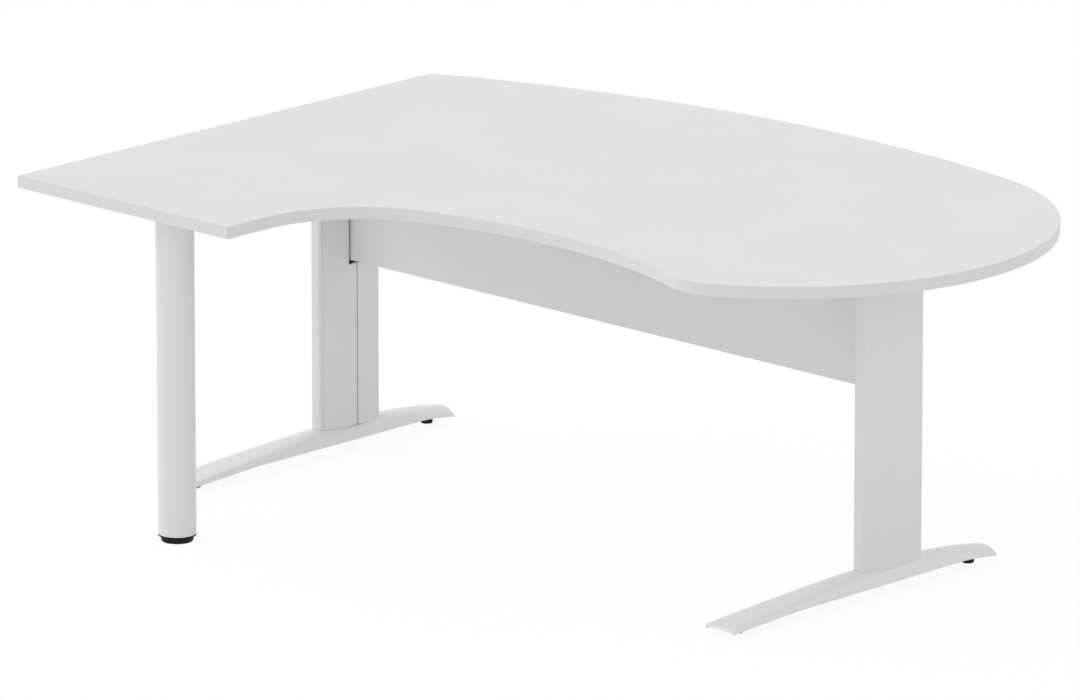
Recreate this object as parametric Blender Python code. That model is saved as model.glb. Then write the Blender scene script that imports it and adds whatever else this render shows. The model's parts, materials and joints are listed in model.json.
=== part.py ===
"""Compact office desk with a rounded end, a straight return and a cable managed frame.

Run with: blender --background --python part.py, or from Blender's text editor.
Units are metres. +X runs along the desk from the return to the rounded end, +Y runs to
the back, +Z is up. The origin is on the floor under the middle of the desk's outline.

The top stands on two cast feet with hollow steel columns and on one round pole leg.
A double skinned modesty panel joins the columns, and a clip-on cover closes the cable
channel on the inner side of each column.
"""

import math

import bmesh
import bpy
import numpy as np
from mathutils import Matrix, Vector

# Clearances that every fit in the desk is made with.
JOINT_GAP = 0.0003
SCREW_CLEARANCE = 0.0003
CUT_OVERRUN = 0.010
ARC_TOLERANCE = 0.0002
SMOOTH_ANGLE = math.radians(30)

# Desk top: a straight return at the left, a bowed back, a round end and a wave at the front.
TOP_HEIGHT = 0.735
TOP_THICKNESS = 0.025
RETURN_WIDTH = 0.600
RETURN_LENGTH = 1.193
BACK_RADIUS = 2.433
END_RADIUS = 0.5452
END_CENTRE_RIGHT = 1.3442
END_CENTRE_FORWARD = 0.3661
WAVE_RADIUS = 1.0648
WAVE_CENTRE_RIGHT = 1.1049
WAVE_DEPTH = 0.7856
INNER_CORNER_RADIUS = 0.255
FRONT_CORNER_RADIUS = 0.112
BAND_THICKNESS = 0.002

# Leg frames: two alike, mirrored, set in from the left edge of the top.
LEG_SPACING = 1.518
LEG_INSET = 0.0089
NOSE_FORWARD = 0.3913

# Cast foot: a hollow arched shell, widest at the floor, crowned under the column.
FOOT_WIDTH = 0.077
FOOT_TOE = 0.4040
FOOT_HEEL = 0.3755
FOOT_WALL = 0.004
FOOT_RIM = 0.0075
TOE_EDGE_HEIGHT = 0.0118
ARCH_EDGE_HEIGHT = 0.0211
HEEL_EDGE_HEIGHT = 0.0108
TOE_CREST_HEIGHT = 0.0228
SADDLE_CREST_HEIGHT = 0.0530
HEEL_CREST_HEIGHT = 0.0296
CROWN_SHAPE_SHARES = ((0.0, 6.3), (0.256, 3.6), (0.50, 2.2), (0.72, 2.05), (0.84, 2.1), (1.0, 1.8))
TOE_EDGE_SHARES = ((0.0, 0.0), (0.128, 0.52), (0.256, 1.0), (0.35, 1.0))
HEEL_EDGE_SHARES = ((0.80, 1.0), (0.87, 0.97), (0.93, 0.72), (1.0, 0.0))
TOE_CREST_SHARES = ((0.0, 0.0), (0.128, 0.23), (0.256, 0.48), (0.385, 0.735), (0.513, 0.93), (0.62, 1.0))
HEEL_CREST_SHARES = ((0.72, 1.0), (0.84, 0.68), (0.92, 0.39), (1.0, 0.0))
MIDDLE_SHARE = 0.5
SADDLE_SHARE = 0.65
FOOT_STATIONS = 22
FOOT_FACETS = 14
TOE_LEVELLER_INSET = 0.0500
HEEL_LEVELLER_INSET = 0.0455
LEVELLER_BOSS_DIAMETER = 0.018
LEVELLER_BOSS_FOOT = 0.0143
BOLT_BOSS_DIAMETER = 0.020
BOLT_BOSS_DEPTH = 0.014
BASE_BOLT_INSET = 0.038

# Leveller: a plastic pad on a threaded stud with a thin nut that locks against its boss.
PAD_DIAMETER = 0.025
PAD_HEIGHT = 0.009
PAD_EDGE = 0.0012
STUD_DIAMETER = 0.008
STUD_SEAT = 0.0043
STUD_TOP = 0.0222
LOCK_NUT_DIAMETER = 0.013

# Column: a steel sheet folded to a long oval, open on the inner side for cables.
COLUMN_DEPTH = 0.170
COLUMN_NOSE_WIDTH = 0.0257
COLUMN_WAIST_WIDTH = 0.052
COLUMN_WAIST_BACK = 0.1013
COLUMN_NOSE_RADIUS = 0.006
COLUMN_TAIL_RADIUS = 0.008
COLUMN_WALL = 0.002
COLUMN_FACETS = 14
CORNER_FACETS = 4
FLAT_FACETS = 6

# Cable cover and the openings in the inner side of the column.
COVER_SEAM_FRONT = 0.0075
COVER_SEAM_BACK = 0.0965
COVER_FRONT_GAP = 0.0006
COVER_BACK_GAP = 0.0028
COVER_WALL = 0.002
COVER_FLANGE = 0.007
COVER_LIP = 0.010
COVER_JOGGLE = 0.0003
COVER_LIP_DEPTH = 0.0062
COVER_TOP_GAP = 0.002
COVER_FOOT_GAP = 0.0006
SLOT_FRONT = 0.0750
SLOT_BACK = 0.1104
SLOT_FLOOR_HEIGHT = 0.3955
NOTCH_HEIGHT = 0.0032
CLIP_HEIGHT = 0.022
CLIP_WALL = 0.003
CLIP_REACH = 0.010
CLIP_LOW_HEIGHT = 0.150
CLIP_HIGH_HEIGHT = 0.340

# Base plate welded in the foot of the column, and its bolts.
BASE_PLATE_THICKNESS = 0.006
BASE_PLATE_END = 0.012
BASE_PLATE_ROWS = 6
BASE_BOLT_DIAMETER = 0.008
BASE_BOLT_HEAD_DIAMETER = 0.014
BASE_BOLT_HEAD_HEIGHT = 0.005
BASE_BOLT_TAIL = 0.003

# Arm: a pressed channel under the top, deepest where it holds the column.
ARM_FRONT = 0.215
ARM_BACK = 0.345
ARM_WIDTH = 0.060
ARM_SHEET = 0.003
ARM_END_DEPTH = 0.012
ARM_ROOT_DEPTH = 0.032
ARM_ROOT_MARGIN = 0.020
ARM_SCREW_INSET = 0.025
ARM_SCREW_MARGIN = 0.045

# Wood screws that hold the top.
SCREW_DIAMETER = 0.0045
SCREW_LENGTH = 0.018
SCREW_TIP = 0.005
SCREW_HEAD_DIAMETER = 0.010
SCREW_HEAD_HEIGHT = 0.003
HEAD_CROWN_SHARE = 0.62
HEAD_RIM_SHARE = 0.45
TIP_SHARE = 0.45

# Modesty panel: a folded front tray with a flat back skin, bolted inside both columns.
PANEL_BOTTOM_HEIGHT = 0.4046
PANEL_GAP_FRONT = 0.0042
PANEL_DEPTH = 0.0295
PANEL_SHEET = 0.0015
PANEL_OVERLAP = 0.014
PANEL_PLATE_THICKNESS = 0.0025
PANEL_PLATE_MARGIN = 0.016
PANEL_PLATE_REACH = 0.012
PANEL_BOLT_INSET = 0.060
PANEL_BOLT_OFFSET = 0.004
PANEL_BOLT_DIAMETER = 0.006
PANEL_BOLT_HEAD_DIAMETER = 0.011
PANEL_BOLT_HEAD_HEIGHT = 0.0035
PANEL_BOLT_TAIL = 0.002
NUT_PLATE_THICKNESS = 0.005
NUT_PLATE_WIDTH = 0.014
NUT_PLATE_MARGIN = 0.015

# Pole leg under the return.
POLE_DIAMETER = 0.078
POLE_WALL = 0.002
POLE_RIGHT = 0.3028
POLE_FROM_END = 0.1452
POLE_BOTTOM_HEIGHT = 0.0158
POLE_PLATE_SIZE = 0.120
POLE_PLATE_THICKNESS = 0.004
POLE_PLATE_CORNER = 0.012
POLE_SCREW_INSET = 0.013
POLE_FACETS = 40
CAP_LIP = 0.0035
CAP_PLUG_HEIGHT = 0.030
CAP_BORE_WALL = 0.006
GLIDE_DIAMETER = 0.066
GLIDE_EDGE = 0.0025
GLIDE_STUD_DIAMETER = 0.010
GLIDE_STUD_SEAT = 0.005
GLIDE_STUD_TOP = 0.040

# Facet counts of the small round pieces.
PAD_FACETS = 20
STUD_FACETS = 10
SCREW_FACETS = 10
HOLE_FACETS = 12

# Heights and places that follow from the sizes above.
TOP_UNDERSIDE = TOP_HEIGHT - TOP_THICKNESS
FOOT_LENGTH = FOOT_TOE + FOOT_HEEL
ARM_WEB_HEIGHT = TOP_UNDERSIDE - JOINT_GAP - ARM_SHEET
COLUMN_TOP_HEIGHT = ARM_WEB_HEIGHT - JOINT_GAP
COVER_TOP_HEIGHT = TOP_UNDERSIDE - JOINT_GAP - ARM_ROOT_DEPTH - COVER_TOP_GAP
PANEL_TOP_HEIGHT = COLUMN_TOP_HEIGHT
PANEL_FRONT = SLOT_FRONT + PANEL_GAP_FRONT

# Finishes: colour, roughness and metallic value of each kind of surface.
FINISHES = {
    "white_laminate": ((0.80, 0.80, 0.80), 0.42, 0.0),
    "white_edging": ((0.80, 0.80, 0.80), 0.35, 0.0),
    "white_powder_coat": ((0.76, 0.76, 0.76), 0.38, 0.0),
    "black_plastic": ((0.012, 0.012, 0.013), 0.50, 0.0),
    "grey_plastic": ((0.42, 0.42, 0.43), 0.50, 0.0),
    "zinc_plated_steel": ((0.62, 0.62, 0.64), 0.32, 1.0),
}


def clear_scene():
    """Remove every object that the scene starts with."""
    for item in list(bpy.data.objects):
        bpy.data.objects.remove(item, do_unlink=True)


def finish(name):
    """Return the material of that name, made on first use."""
    if name in bpy.data.materials:
        return bpy.data.materials[name]
    colour, roughness, metallic = FINISHES[name]
    material = bpy.data.materials.new(name)
    material.use_nodes = True
    shader = material.node_tree.nodes["Principled BSDF"]
    shader.inputs["Base Color"].default_value = (*colour, 1.0)
    shader.inputs["Roughness"].default_value = roughness
    shader.inputs["Metallic"].default_value = metallic
    return material


def add_object(name, mesh, parent, finish_name=None, place=(0.0, 0.0, 0.0)):
    """Put a mesh in the scene under its parent."""
    item = bpy.data.objects.new(name, mesh)
    bpy.context.scene.collection.objects.link(item)
    item.parent = parent
    item.location = place
    if finish_name:
        mesh.materials.append(finish(finish_name))
    return item


def add_empty(name, place, parent=None):
    """Put an empty in the scene, to carry other objects."""
    item = bpy.data.objects.new(name, None)
    bpy.context.scene.collection.objects.link(item)
    item.parent = parent
    item.location = place
    return item


def cut(target, cutter, operation="DIFFERENCE"):
    """Cut a target with a hidden object, or join the two."""
    cutter.hide_render = True
    cutter.display_type = "WIRE"
    modifier = target.modifiers.new(cutter.name, "BOOLEAN")
    modifier.operation = operation
    modifier.solver = "EXACT"
    modifier.object = cutter


def closed_mesh(name, points, faces, smooth_angle=None):
    """Make a mesh with its faces pointing out, smooth between faces that turn gently."""
    mesh = bpy.data.meshes.new(name)
    mesh.from_pydata([tuple(point) for point in points], [], faces)
    work = bmesh.new()
    work.from_mesh(mesh)
    bmesh.ops.recalc_face_normals(work, faces=work.faces)
    work.to_mesh(mesh)
    work.free()
    if smooth_angle is not None:
        mesh.shade_smooth()
        mesh.set_sharp_from_angle(angle=smooth_angle)
    return mesh


def sheet_loft(name, rings, smooth_angle=SMOOTH_ANGLE):
    """Join rings of a sheet's section, each its outer line and then its inner line reversed."""
    count = len(rings[0])
    points = [point for ring in rings for point in ring]
    faces = []
    for start in range(0, (len(rings) - 1) * count, count):
        for index in range(count):
            after = (index + 1) % count
            faces.append((start + index, start + after, start + count + after, start + count + index))
    for start in (0, (len(rings) - 1) * count):
        for index in range(count // 2 - 1):
            far = count - 1 - index
            faces.append((start + index, start + index + 1, start + far - 1, start + far))
    return closed_mesh(name, points, faces, smooth_angle)


def prism(name, outline, low, high, smooth_angle=SMOOTH_ANGLE):
    """Raise a flat outline from one height to another."""
    count = len(outline)
    points = [(x, y, height) for height in (low, high) for x, y in outline]
    faces = [tuple(range(count)), tuple(range(count, 2 * count))]
    for index in range(count):
        after = (index + 1) % count
        faces.append((index, after, count + after, count + index))
    return closed_mesh(name, points, faces, smooth_angle)


def box(name, low, high):
    """Make a block between two corners."""
    outline = ((low[0], low[1]), (high[0], low[1]), (high[0], high[1]), (low[0], high[1]))
    return prism(name, outline, low[2], high[2], None)


def turned(name, profile, facets, smooth_angle=SMOOTH_ANGLE):
    """Turn a profile of radius and height about Z; it starts and ends on the axis."""
    points = [(0.0, 0.0, profile[0][1]), (0.0, 0.0, profile[-1][1])]
    inner = profile[1:-1]
    for radius, height in inner:
        for step in range(facets):
            turn = 2 * math.pi * step / facets
            points.append((radius * math.cos(turn), radius * math.sin(turn), height))
    faces = []
    last = 2 + (len(inner) - 1) * facets
    for step in range(facets):
        after = (step + 1) % facets
        faces.append((0, 2 + after, 2 + step))
        faces.append((1, last + step, last + after))
        for ring in range(2, last, facets):
            faces.append((ring + step, ring + after, ring + facets + after, ring + facets + step))
    return closed_mesh(name, points, faces, smooth_angle)


def cylinders(name, items, facets):
    """Make cylinders in one mesh, each given by its centre, axis, radius and length."""
    work = bmesh.new()
    for centre, axis, radius, length in items:
        turn = Vector((0.0, 0.0, 1.0)).rotation_difference(Vector(axis)).to_matrix().to_4x4()
        bmesh.ops.create_cone(work, cap_ends=True, segments=facets, radius1=radius, radius2=radius,
                              depth=length, matrix=Matrix.Translation(centre) @ turn)
    mesh = bpy.data.meshes.new(name)
    work.to_mesh(mesh)
    work.free()
    return mesh


def smooth_through(table, place):
    """Read a smooth line through a table of places and values."""
    places = [row[0] for row in table]
    values = [row[1] for row in table]
    if place <= places[0]:
        return values[0]
    if place >= places[-1]:
        return values[-1]
    slopes = np.gradient(values, places)
    after = next(index for index, row in enumerate(places) if row >= place)
    before = after - 1
    span = places[after] - places[before]
    part = (place - places[before]) / span
    return ((2 * part ** 3 - 3 * part ** 2 + 1) * values[before]
            + (part ** 3 - 2 * part ** 2 + part) * span * slopes[before]
            + (3 * part ** 2 - 2 * part ** 3) * values[after]
            + (part ** 3 - part ** 2) * span * slopes[after])


def circle_meeting(first, first_reach, second, second_reach):
    """Return the lower point that lies at a given reach from each of two centres."""
    first, second = np.array(first), np.array(second)
    apart = np.linalg.norm(second - first)
    along = (first_reach ** 2 - second_reach ** 2 + apart ** 2) / (2 * apart)
    aside = math.sqrt(max(first_reach ** 2 - along ** 2, 0.0))
    forward = (second - first) / apart
    sideways = np.array((-forward[1], forward[0]))
    middle = first + forward * along
    return min((middle + sideways * aside, middle - sideways * aside), key=lambda point: point[1])


def arc(centre, radius, start, end, facets):
    """Return points on an arc between two angles."""
    return [(centre[0] + radius * math.cos(turn), centre[1] + radius * math.sin(turn))
            for turn in np.linspace(start, end, facets + 1)]


def angle_of(centre, point):
    """Return the direction of a point from a centre."""
    return math.atan2(point[1] - centre[1], point[0] - centre[0])


def arc_facets(radius, sweep):
    """Return how many facets keep an arc within its tolerance."""
    return max(3, math.ceil(abs(sweep) / (2 * math.acos(1 - ARC_TOLERANCE / radius))))


class TopPlan:
    """The outline of the top, seen from above, with its back left corner at zero."""

    def __init__(self):
        self.end = (END_CENTRE_RIGHT, -END_CENTRE_FORWARD)
        self.wave = (WAVE_CENTRE_RIGHT, -WAVE_DEPTH - WAVE_RADIUS)
        self.back = circle_meeting((0.0, 0.0), BACK_RADIUS, self.end, BACK_RADIUS - END_RADIUS)
        self.front = circle_meeting(self.end, END_RADIUS - FRONT_CORNER_RADIUS,
                                    self.wave, WAVE_RADIUS + FRONT_CORNER_RADIUS)
        inner_x = RETURN_WIDTH + INNER_CORNER_RADIUS
        inner_reach = WAVE_RADIUS - INNER_CORNER_RADIUS
        rise = math.sqrt(inner_reach ** 2 - (inner_x - self.wave[0]) ** 2)
        self.inner = (inner_x, self.wave[1] + rise)
        self.turns = self.find_turns()
        sweeps = ((BACK_RADIUS, self.turns[0] - angle_of(self.back, (0.0, 0.0))),
                  (END_RADIUS, self.turns[1] - self.turns[0]),
                  (FRONT_CORNER_RADIUS, self.turns[2] - self.turns[1]),
                  (WAVE_RADIUS, self.turns[4] - self.turns[3]),
                  (INNER_CORNER_RADIUS, math.pi - self.turns[4]))
        self.facets = [arc_facets(radius, sweep) for radius, sweep in sweeps]

    def find_turns(self):
        """Return the directions in which the arcs meet each other."""
        back_end = angle_of(self.back, self.end)
        end_front = angle_of(self.end, self.front)
        if end_front > back_end:
            end_front -= 2 * math.pi
        front_wave = angle_of(self.front, self.wave)
        while front_wave > end_front:
            front_wave -= 2 * math.pi
        wave_start = angle_of(self.wave, self.front)
        wave_end = angle_of(self.wave, self.inner)
        return back_end, end_front, front_wave, wave_start, wave_end

    def back_point(self, inset, x):
        """Return the point of the back edge, or of a line inside it, at some x."""
        reach = BACK_RADIUS - inset
        return x, self.back[1] + math.sqrt(reach ** 2 - (x - self.back[0]) ** 2)

    def curved_edge(self, inset, start_x, end_y):
        """Return the edge from the back left corner round to the front of the return."""
        start = angle_of(self.back, self.back_point(inset, start_x))
        back_end, end_front, front_wave, wave_start, wave_end = self.turns
        pieces = (
            arc(self.back, BACK_RADIUS - inset, start, back_end, self.facets[0]),
            arc(self.end, END_RADIUS - inset, back_end, end_front, self.facets[1]),
            arc(self.front, FRONT_CORNER_RADIUS - inset, end_front, front_wave, self.facets[2]),
            arc(self.wave, WAVE_RADIUS + inset, wave_start, wave_end, self.facets[3]),
            arc(self.inner, INNER_CORNER_RADIUS + inset, wave_end, math.pi, self.facets[4]),
        )
        line = list(pieces[0])
        for piece in pieces[1:]:
            line.extend(piece[1:])
        line.append((RETURN_WIDTH - inset, end_y))
        return line

    def outline(self, inset):
        """Return the whole outline, moved in by an inset."""
        end_y = inset - RETURN_LENGTH
        return self.curved_edge(inset, inset, end_y) + [(inset, end_y)]


def foot_share(y):
    """Return how far along the foot a place behind the column's nose lies."""
    return (y + FOOT_TOE) / FOOT_LENGTH


def edge_height(share):
    """Return the height of the foot's lower edge."""
    if share < MIDDLE_SHARE:
        part = smooth_through(TOE_EDGE_SHARES, share)
        return TOE_EDGE_HEIGHT + (ARCH_EDGE_HEIGHT - TOE_EDGE_HEIGHT) * part
    part = smooth_through(HEEL_EDGE_SHARES, share)
    return HEEL_EDGE_HEIGHT + (ARCH_EDGE_HEIGHT - HEEL_EDGE_HEIGHT) * part


def crest_height(share):
    """Return the height of the foot's crest."""
    if share < SADDLE_SHARE:
        part = smooth_through(TOE_CREST_SHARES, share)
        return TOE_CREST_HEIGHT + (SADDLE_CREST_HEIGHT - TOE_CREST_HEIGHT) * part
    part = smooth_through(HEEL_CREST_SHARES, share)
    return HEEL_CREST_HEIGHT + (SADDLE_CREST_HEIGHT - HEEL_CREST_HEIGHT) * part


def crown_height(x, y):
    """Return the height of the foot's faceted outer surface at a place."""
    place = foot_share(y) * FOOT_STATIONS
    before = min(math.floor(place), FOOT_STATIONS - 1)
    heights = []
    for station in (before, before + 1):
        line = foot_line(station / FOOT_STATIONS, y, 0.0, 0.0)
        heights.append(np.interp(x, [point[0] for point in line], [point[2] for point in line]))
    return heights[0] + (heights[1] - heights[0]) * (place - before)


def foot_line(share, y, wall, drop):
    """Return one line across the foot, in from its sides by a wall and down from its crest by a drop."""
    low = edge_height(share)
    rise = crest_height(share) - drop - low
    power = 2 / smooth_through(CROWN_SHAPE_SHARES, share)
    half = FOOT_WIDTH / 2 - wall
    line = []
    for step in range(FOOT_FACETS + 1):
        turn = math.pi * (1 - step / FOOT_FACETS)
        across = math.copysign(abs(math.cos(turn)) ** power, math.cos(turn))
        line.append((half * across, y, low + rise * abs(math.sin(turn)) ** power))
    return line


def half_width(y):
    """Return half the column's width at a distance behind its nose."""
    bulge = (COLUMN_WAIST_WIDTH - COLUMN_NOSE_WIDTH) / 2
    radius = (COLUMN_WAIST_BACK ** 2 + bulge ** 2) / (2 * bulge)
    away = y - COLUMN_WAIST_BACK
    return COLUMN_WAIST_WIDTH / 2 - radius + math.sqrt(radius ** 2 - away ** 2)


def side_line(start, end, inset=0.0, facets=COLUMN_FACETS):
    """Return points down the inner side of the column between two places."""
    return [(half_width(y) - inset, y) for y in np.linspace(start, end, facets + 1)]


def column_line():
    """Return the column's outer line, from the front seam round the nose and the tail."""
    nose = COLUMN_NOSE_RADIUS
    tail = COLUMN_TAIL_RADIUS
    tail_y = COLUMN_DEPTH - tail
    nose_x = half_width(nose) - nose
    tail_x = half_width(tail_y) - tail
    quarter = math.pi / 2
    lip_start = COVER_SEAM_BACK + COVER_BACK_GAP
    line = [(half_width(COVER_SEAM_FRONT), COVER_SEAM_FRONT)]
    line += arc((nose_x, nose), nose, 0.0, -quarter, CORNER_FACETS)
    line += [(x, 0.0) for x in np.linspace(nose_x, -nose_x, FLAT_FACETS + 1)[1:-1]]
    line += arc((-nose_x, nose), nose, -quarter, -2 * quarter, CORNER_FACETS)
    line += [(-x, y) for x, y in side_line(nose, tail_y)][1:-1]
    line += arc((-tail_x, tail_y), tail, 2 * quarter, quarter, CORNER_FACETS)
    line += [(x, COLUMN_DEPTH) for x in np.linspace(-tail_x, tail_x, FLAT_FACETS + 1)[1:-1]]
    line += arc((tail_x, tail_y), tail, quarter, 0.0, CORNER_FACETS)
    line += side_line(tail_y, lip_start + COVER_JOGGLE, 0.0, COLUMN_FACETS // 2)[1:]
    line.append((half_width(lip_start) - COVER_LIP_DEPTH / 2, lip_start + COVER_JOGGLE / 2))
    line += side_line(lip_start, COVER_SEAM_BACK - COVER_LIP, COVER_LIP_DEPTH, 2)
    return line


def cover_line():
    """Return the cover's outer line, from its rear seam forward to its front flange."""
    front = COVER_SEAM_FRONT + COVER_FRONT_GAP
    line = side_line(COVER_SEAM_BACK, front)
    return line + [(line[-1][0] - COVER_FLANGE, front)]


def moved_in(line, wall):
    """Return a line moved to its right by a wall, with its corners mitred."""
    points = [Vector(point) for point in line]
    normals = []
    for first, second in zip(points, points[1:]):
        along = (second - first).normalized()
        normals.append(Vector((along.y, -along.x)))
    result = [points[0] + normals[0] * wall]
    for index in range(1, len(points) - 1):
        middle = (normals[index - 1] + normals[index]).normalized()
        result.append(points[index] + middle * (wall / middle.dot(normals[index])))
    result.append(points[-1] + normals[-1] * wall)
    return [tuple(point) for point in result]


def upright_sheet(name, line, wall, gap, top, side):
    """Stand a folded sheet on the foot's crown and raise it to its top."""
    section = list(line) + moved_in(line, wall)[::-1]
    low = [(side * x, y, crown_height(x, y) + gap) for x, y in section]
    high = [(side * x, y, top) for x, y in section]
    return sheet_loft(name, (low, high))


def screw_mesh(diameter, length, tip, head_diameter, head_height):
    """Make a screw with a round head below zero and its shank up from zero."""
    shank = diameter / 2
    head = head_diameter / 2
    crown = head * HEAD_CROWN_SHARE
    profile = ((0.0, -head_height), (crown, -head_height), (head, -head_height * HEAD_RIM_SHARE),
               (head, 0.0), (shank, 0.0), (shank, length - tip), (shank * TIP_SHARE, length),
               (0.0, length))
    return turned("screw", profile, SCREW_FACETS)


class Desk:
    """The whole desk, with its places measured from the top's back left corner."""

    def __init__(self):
        self.plan = TopPlan()
        outline = np.array(self.plan.outline(0.0))
        middle = (outline.min(axis=0) + outline.max(axis=0)) / 2
        self.datum = add_empty("desk_datum", (-middle[0], -middle[1], 0.0))
        self.left_x = LEG_INSET + FOOT_WIDTH / 2
        self.leg_x = {"left": self.left_x, "right": self.left_x + LEG_SPACING}
        self.pole = (POLE_RIGHT, POLE_FROM_END - RETURN_LENGTH)
        self.pilot_holes = []

    def build(self):
        """Make every piece of the desk."""
        for name, side in (("left", 1.0), ("right", -1.0)):
            carrier = add_empty(f"leg_{name}", (self.leg_x[name], -NOSE_FORWARD, 0.0), self.datum)
            self.build_foot(name, side, carrier)
            self.build_levellers(name, carrier)
            self.build_column(name, side, carrier)
            self.build_cover(name, side, carrier)
            self.build_base(name, side, carrier)
            self.build_arm(name, side, carrier)
            self.build_panel_fixing(name, side, carrier)
        self.build_panel()
        self.build_pole()
        self.build_top()

    def build_foot(self, name, side, carrier):
        """Make a cast foot with its bosses and their holes."""
        rings = []
        for step in range(FOOT_STATIONS + 1):
            share = step / FOOT_STATIONS
            y = share * FOOT_LENGTH - FOOT_TOE
            drop = FOOT_RIM if step in (0, FOOT_STATIONS) else FOOT_WALL
            rings.append(foot_line(share, y, 0.0, 0.0) + foot_line(share, y, FOOT_WALL, drop)[::-1])
        foot = add_object(f"foot_{name}", sheet_loft("foot", rings), carrier, "white_powder_coat")
        bosses, holes = [], []
        upright = (0.0, 0.0, 1.0)
        for y in self.leveller_places():
            crest = crown_height(0.0, y)
            top = crest - FOOT_WALL / 2
            bosses.append(((0.0, y, (LEVELLER_BOSS_FOOT + top) / 2), upright,
                           LEVELLER_BOSS_DIAMETER / 2, top - LEVELLER_BOSS_FOOT))
            deep = STUD_TOP + JOINT_GAP
            low = LEVELLER_BOSS_FOOT - CUT_OVERRUN
            holes.append(((0.0, y, (deep + low) / 2), upright,
                          STUD_DIAMETER / 2 + SCREW_CLEARANCE, deep - low))
        for y in self.base_bolt_places():
            top = crown_height(0.0, y) - FOOT_WALL / 2
            bosses.append(((0.0, y, top - BOLT_BOSS_DEPTH / 2), upright,
                           BOLT_BOSS_DIAMETER / 2, BOLT_BOSS_DEPTH))
            holes.append(((0.0, y, top), upright, BASE_BOLT_DIAMETER / 2 + SCREW_CLEARANCE,
                          2 * (BOLT_BOSS_DEPTH + CUT_OVERRUN)))
        boss = add_object(f"foot_bosses_{name}", cylinders("bosses", bosses, HOLE_FACETS + 2), carrier)
        hole = add_object(f"foot_holes_{name}", cylinders("holes", holes, HOLE_FACETS), carrier)
        cut(foot, boss, "UNION")
        cut(foot, hole)

    def leveller_places(self):
        """Return where the levellers stand, behind the column's nose."""
        return TOE_LEVELLER_INSET - FOOT_TOE, FOOT_HEEL - HEEL_LEVELLER_INSET

    def base_bolt_places(self):
        """Return where the column's bolts stand, behind the column's nose."""
        return BASE_BOLT_INSET, COLUMN_DEPTH - BASE_BOLT_INSET

    def build_levellers(self, name, carrier):
        """Make the pad and the threaded stud of each leveller."""
        pad, stud = PAD_DIAMETER / 2, STUD_DIAMETER / 2
        socket = stud + JOINT_GAP
        pad_profile = ((0.0, 0.0), (pad - PAD_EDGE, 0.0), (pad, PAD_EDGE), (pad, PAD_HEIGHT - PAD_EDGE),
                       (pad - PAD_EDGE, PAD_HEIGHT), (socket, PAD_HEIGHT),
                       (socket, STUD_SEAT - JOINT_GAP), (0.0, STUD_SEAT - JOINT_GAP))
        nut_low = PAD_HEIGHT + JOINT_GAP
        nut_high = LEVELLER_BOSS_FOOT - JOINT_GAP
        nut = LOCK_NUT_DIAMETER / 2
        stud_profile = ((0.0, STUD_SEAT), (stud, STUD_SEAT), (stud, nut_low), (nut, nut_low),
                        (nut, nut_high), (stud, nut_high), (stud, STUD_TOP), (0.0, STUD_TOP))
        for end, y in zip(("front", "rear"), self.leveller_places()):
            add_object(f"leveller_pad_{end}_{name}", turned("pad", pad_profile, PAD_FACETS), carrier,
                       "black_plastic", (0.0, y, 0.0))
            add_object(f"leveller_stud_{end}_{name}", turned("stud", stud_profile, STUD_FACETS), carrier,
                       "zinc_plated_steel", (0.0, y, 0.0))

    def slot_box(self, label, name, side, carrier, low, high):
        """Make a cutter for the openings in the inner side of a column."""
        near, far = sorted((0.0, side * COLUMN_WAIST_WIDTH))
        return add_object(f"{label}_{name}", box(label, (near, SLOT_FRONT, low), (far, SLOT_BACK, high)),
                          carrier)

    def notch_top(self):
        """Return the top of the small notch at the foot of the cover's rear seam."""
        return crown_height(half_width(SLOT_FRONT), SLOT_FRONT) + NOTCH_HEIGHT

    def build_column(self, name, side, carrier):
        """Make a column, with the slot for the panel and the notch at its foot."""
        mesh = upright_sheet("column", column_line(), COLUMN_WALL, JOINT_GAP, COLUMN_TOP_HEIGHT, side)
        column = add_object(f"column_{name}", mesh, carrier, "white_powder_coat")
        cut(column, self.slot_box("column_slot", name, side, carrier, SLOT_FLOOR_HEIGHT,
                                  COLUMN_TOP_HEIGHT + CUT_OVERRUN))
        cut(column, self.slot_box("column_notch", name, side, carrier, 0.0, self.notch_top()))

    def build_cover(self, name, side, carrier):
        """Make the cable cover with its clips, on an empty where it pulls off."""
        pull = add_empty(f"cover_pull_{name}", (0.0, COVER_SEAM_FRONT, 0.0), carrier)
        back = (0.0, -COVER_SEAM_FRONT, 0.0)
        mesh = upright_sheet("cover", cover_line(), COVER_WALL, COVER_FOOT_GAP, COVER_TOP_HEIGHT, side)
        cover = add_object(f"cable_cover_{name}", mesh, pull, "white_powder_coat", back)
        cut(cover, self.slot_box("cover_slot", name, side, carrier, SLOT_FLOOR_HEIGHT,
                                 COLUMN_TOP_HEIGHT + CUT_OVERRUN))
        cut(cover, self.slot_box("cover_notch", name, side, carrier, 0.0, self.notch_top()))
        front = COVER_SEAM_FRONT + COVER_FRONT_GAP + COVER_WALL + JOINT_GAP
        rear = COVER_SEAM_BACK - COVER_LIP - JOINT_GAP
        inset = COVER_WALL + JOINT_GAP
        web = side_line(front, rear, inset, COLUMN_FACETS // 2)
        inner = side_line(front + CLIP_WALL, rear - CLIP_WALL, inset + CLIP_WALL, COLUMN_FACETS // 2)
        outline = web + [(web[-1][0] - CLIP_REACH, rear), (web[-1][0] - CLIP_REACH, rear - CLIP_WALL)]
        outline += inner[::-1] + [(web[0][0] - CLIP_REACH, front + CLIP_WALL),
                                  (web[0][0] - CLIP_REACH, front)]
        outline = [(side * x, y) for x, y in outline]
        for level, height in (("lower", CLIP_LOW_HEIGHT), ("upper", CLIP_HIGH_HEIGHT)):
            add_object(f"cover_clip_{level}_{name}", prism("clip", outline, height, height + CLIP_HEIGHT),
                       pull, "grey_plastic", back)

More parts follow.
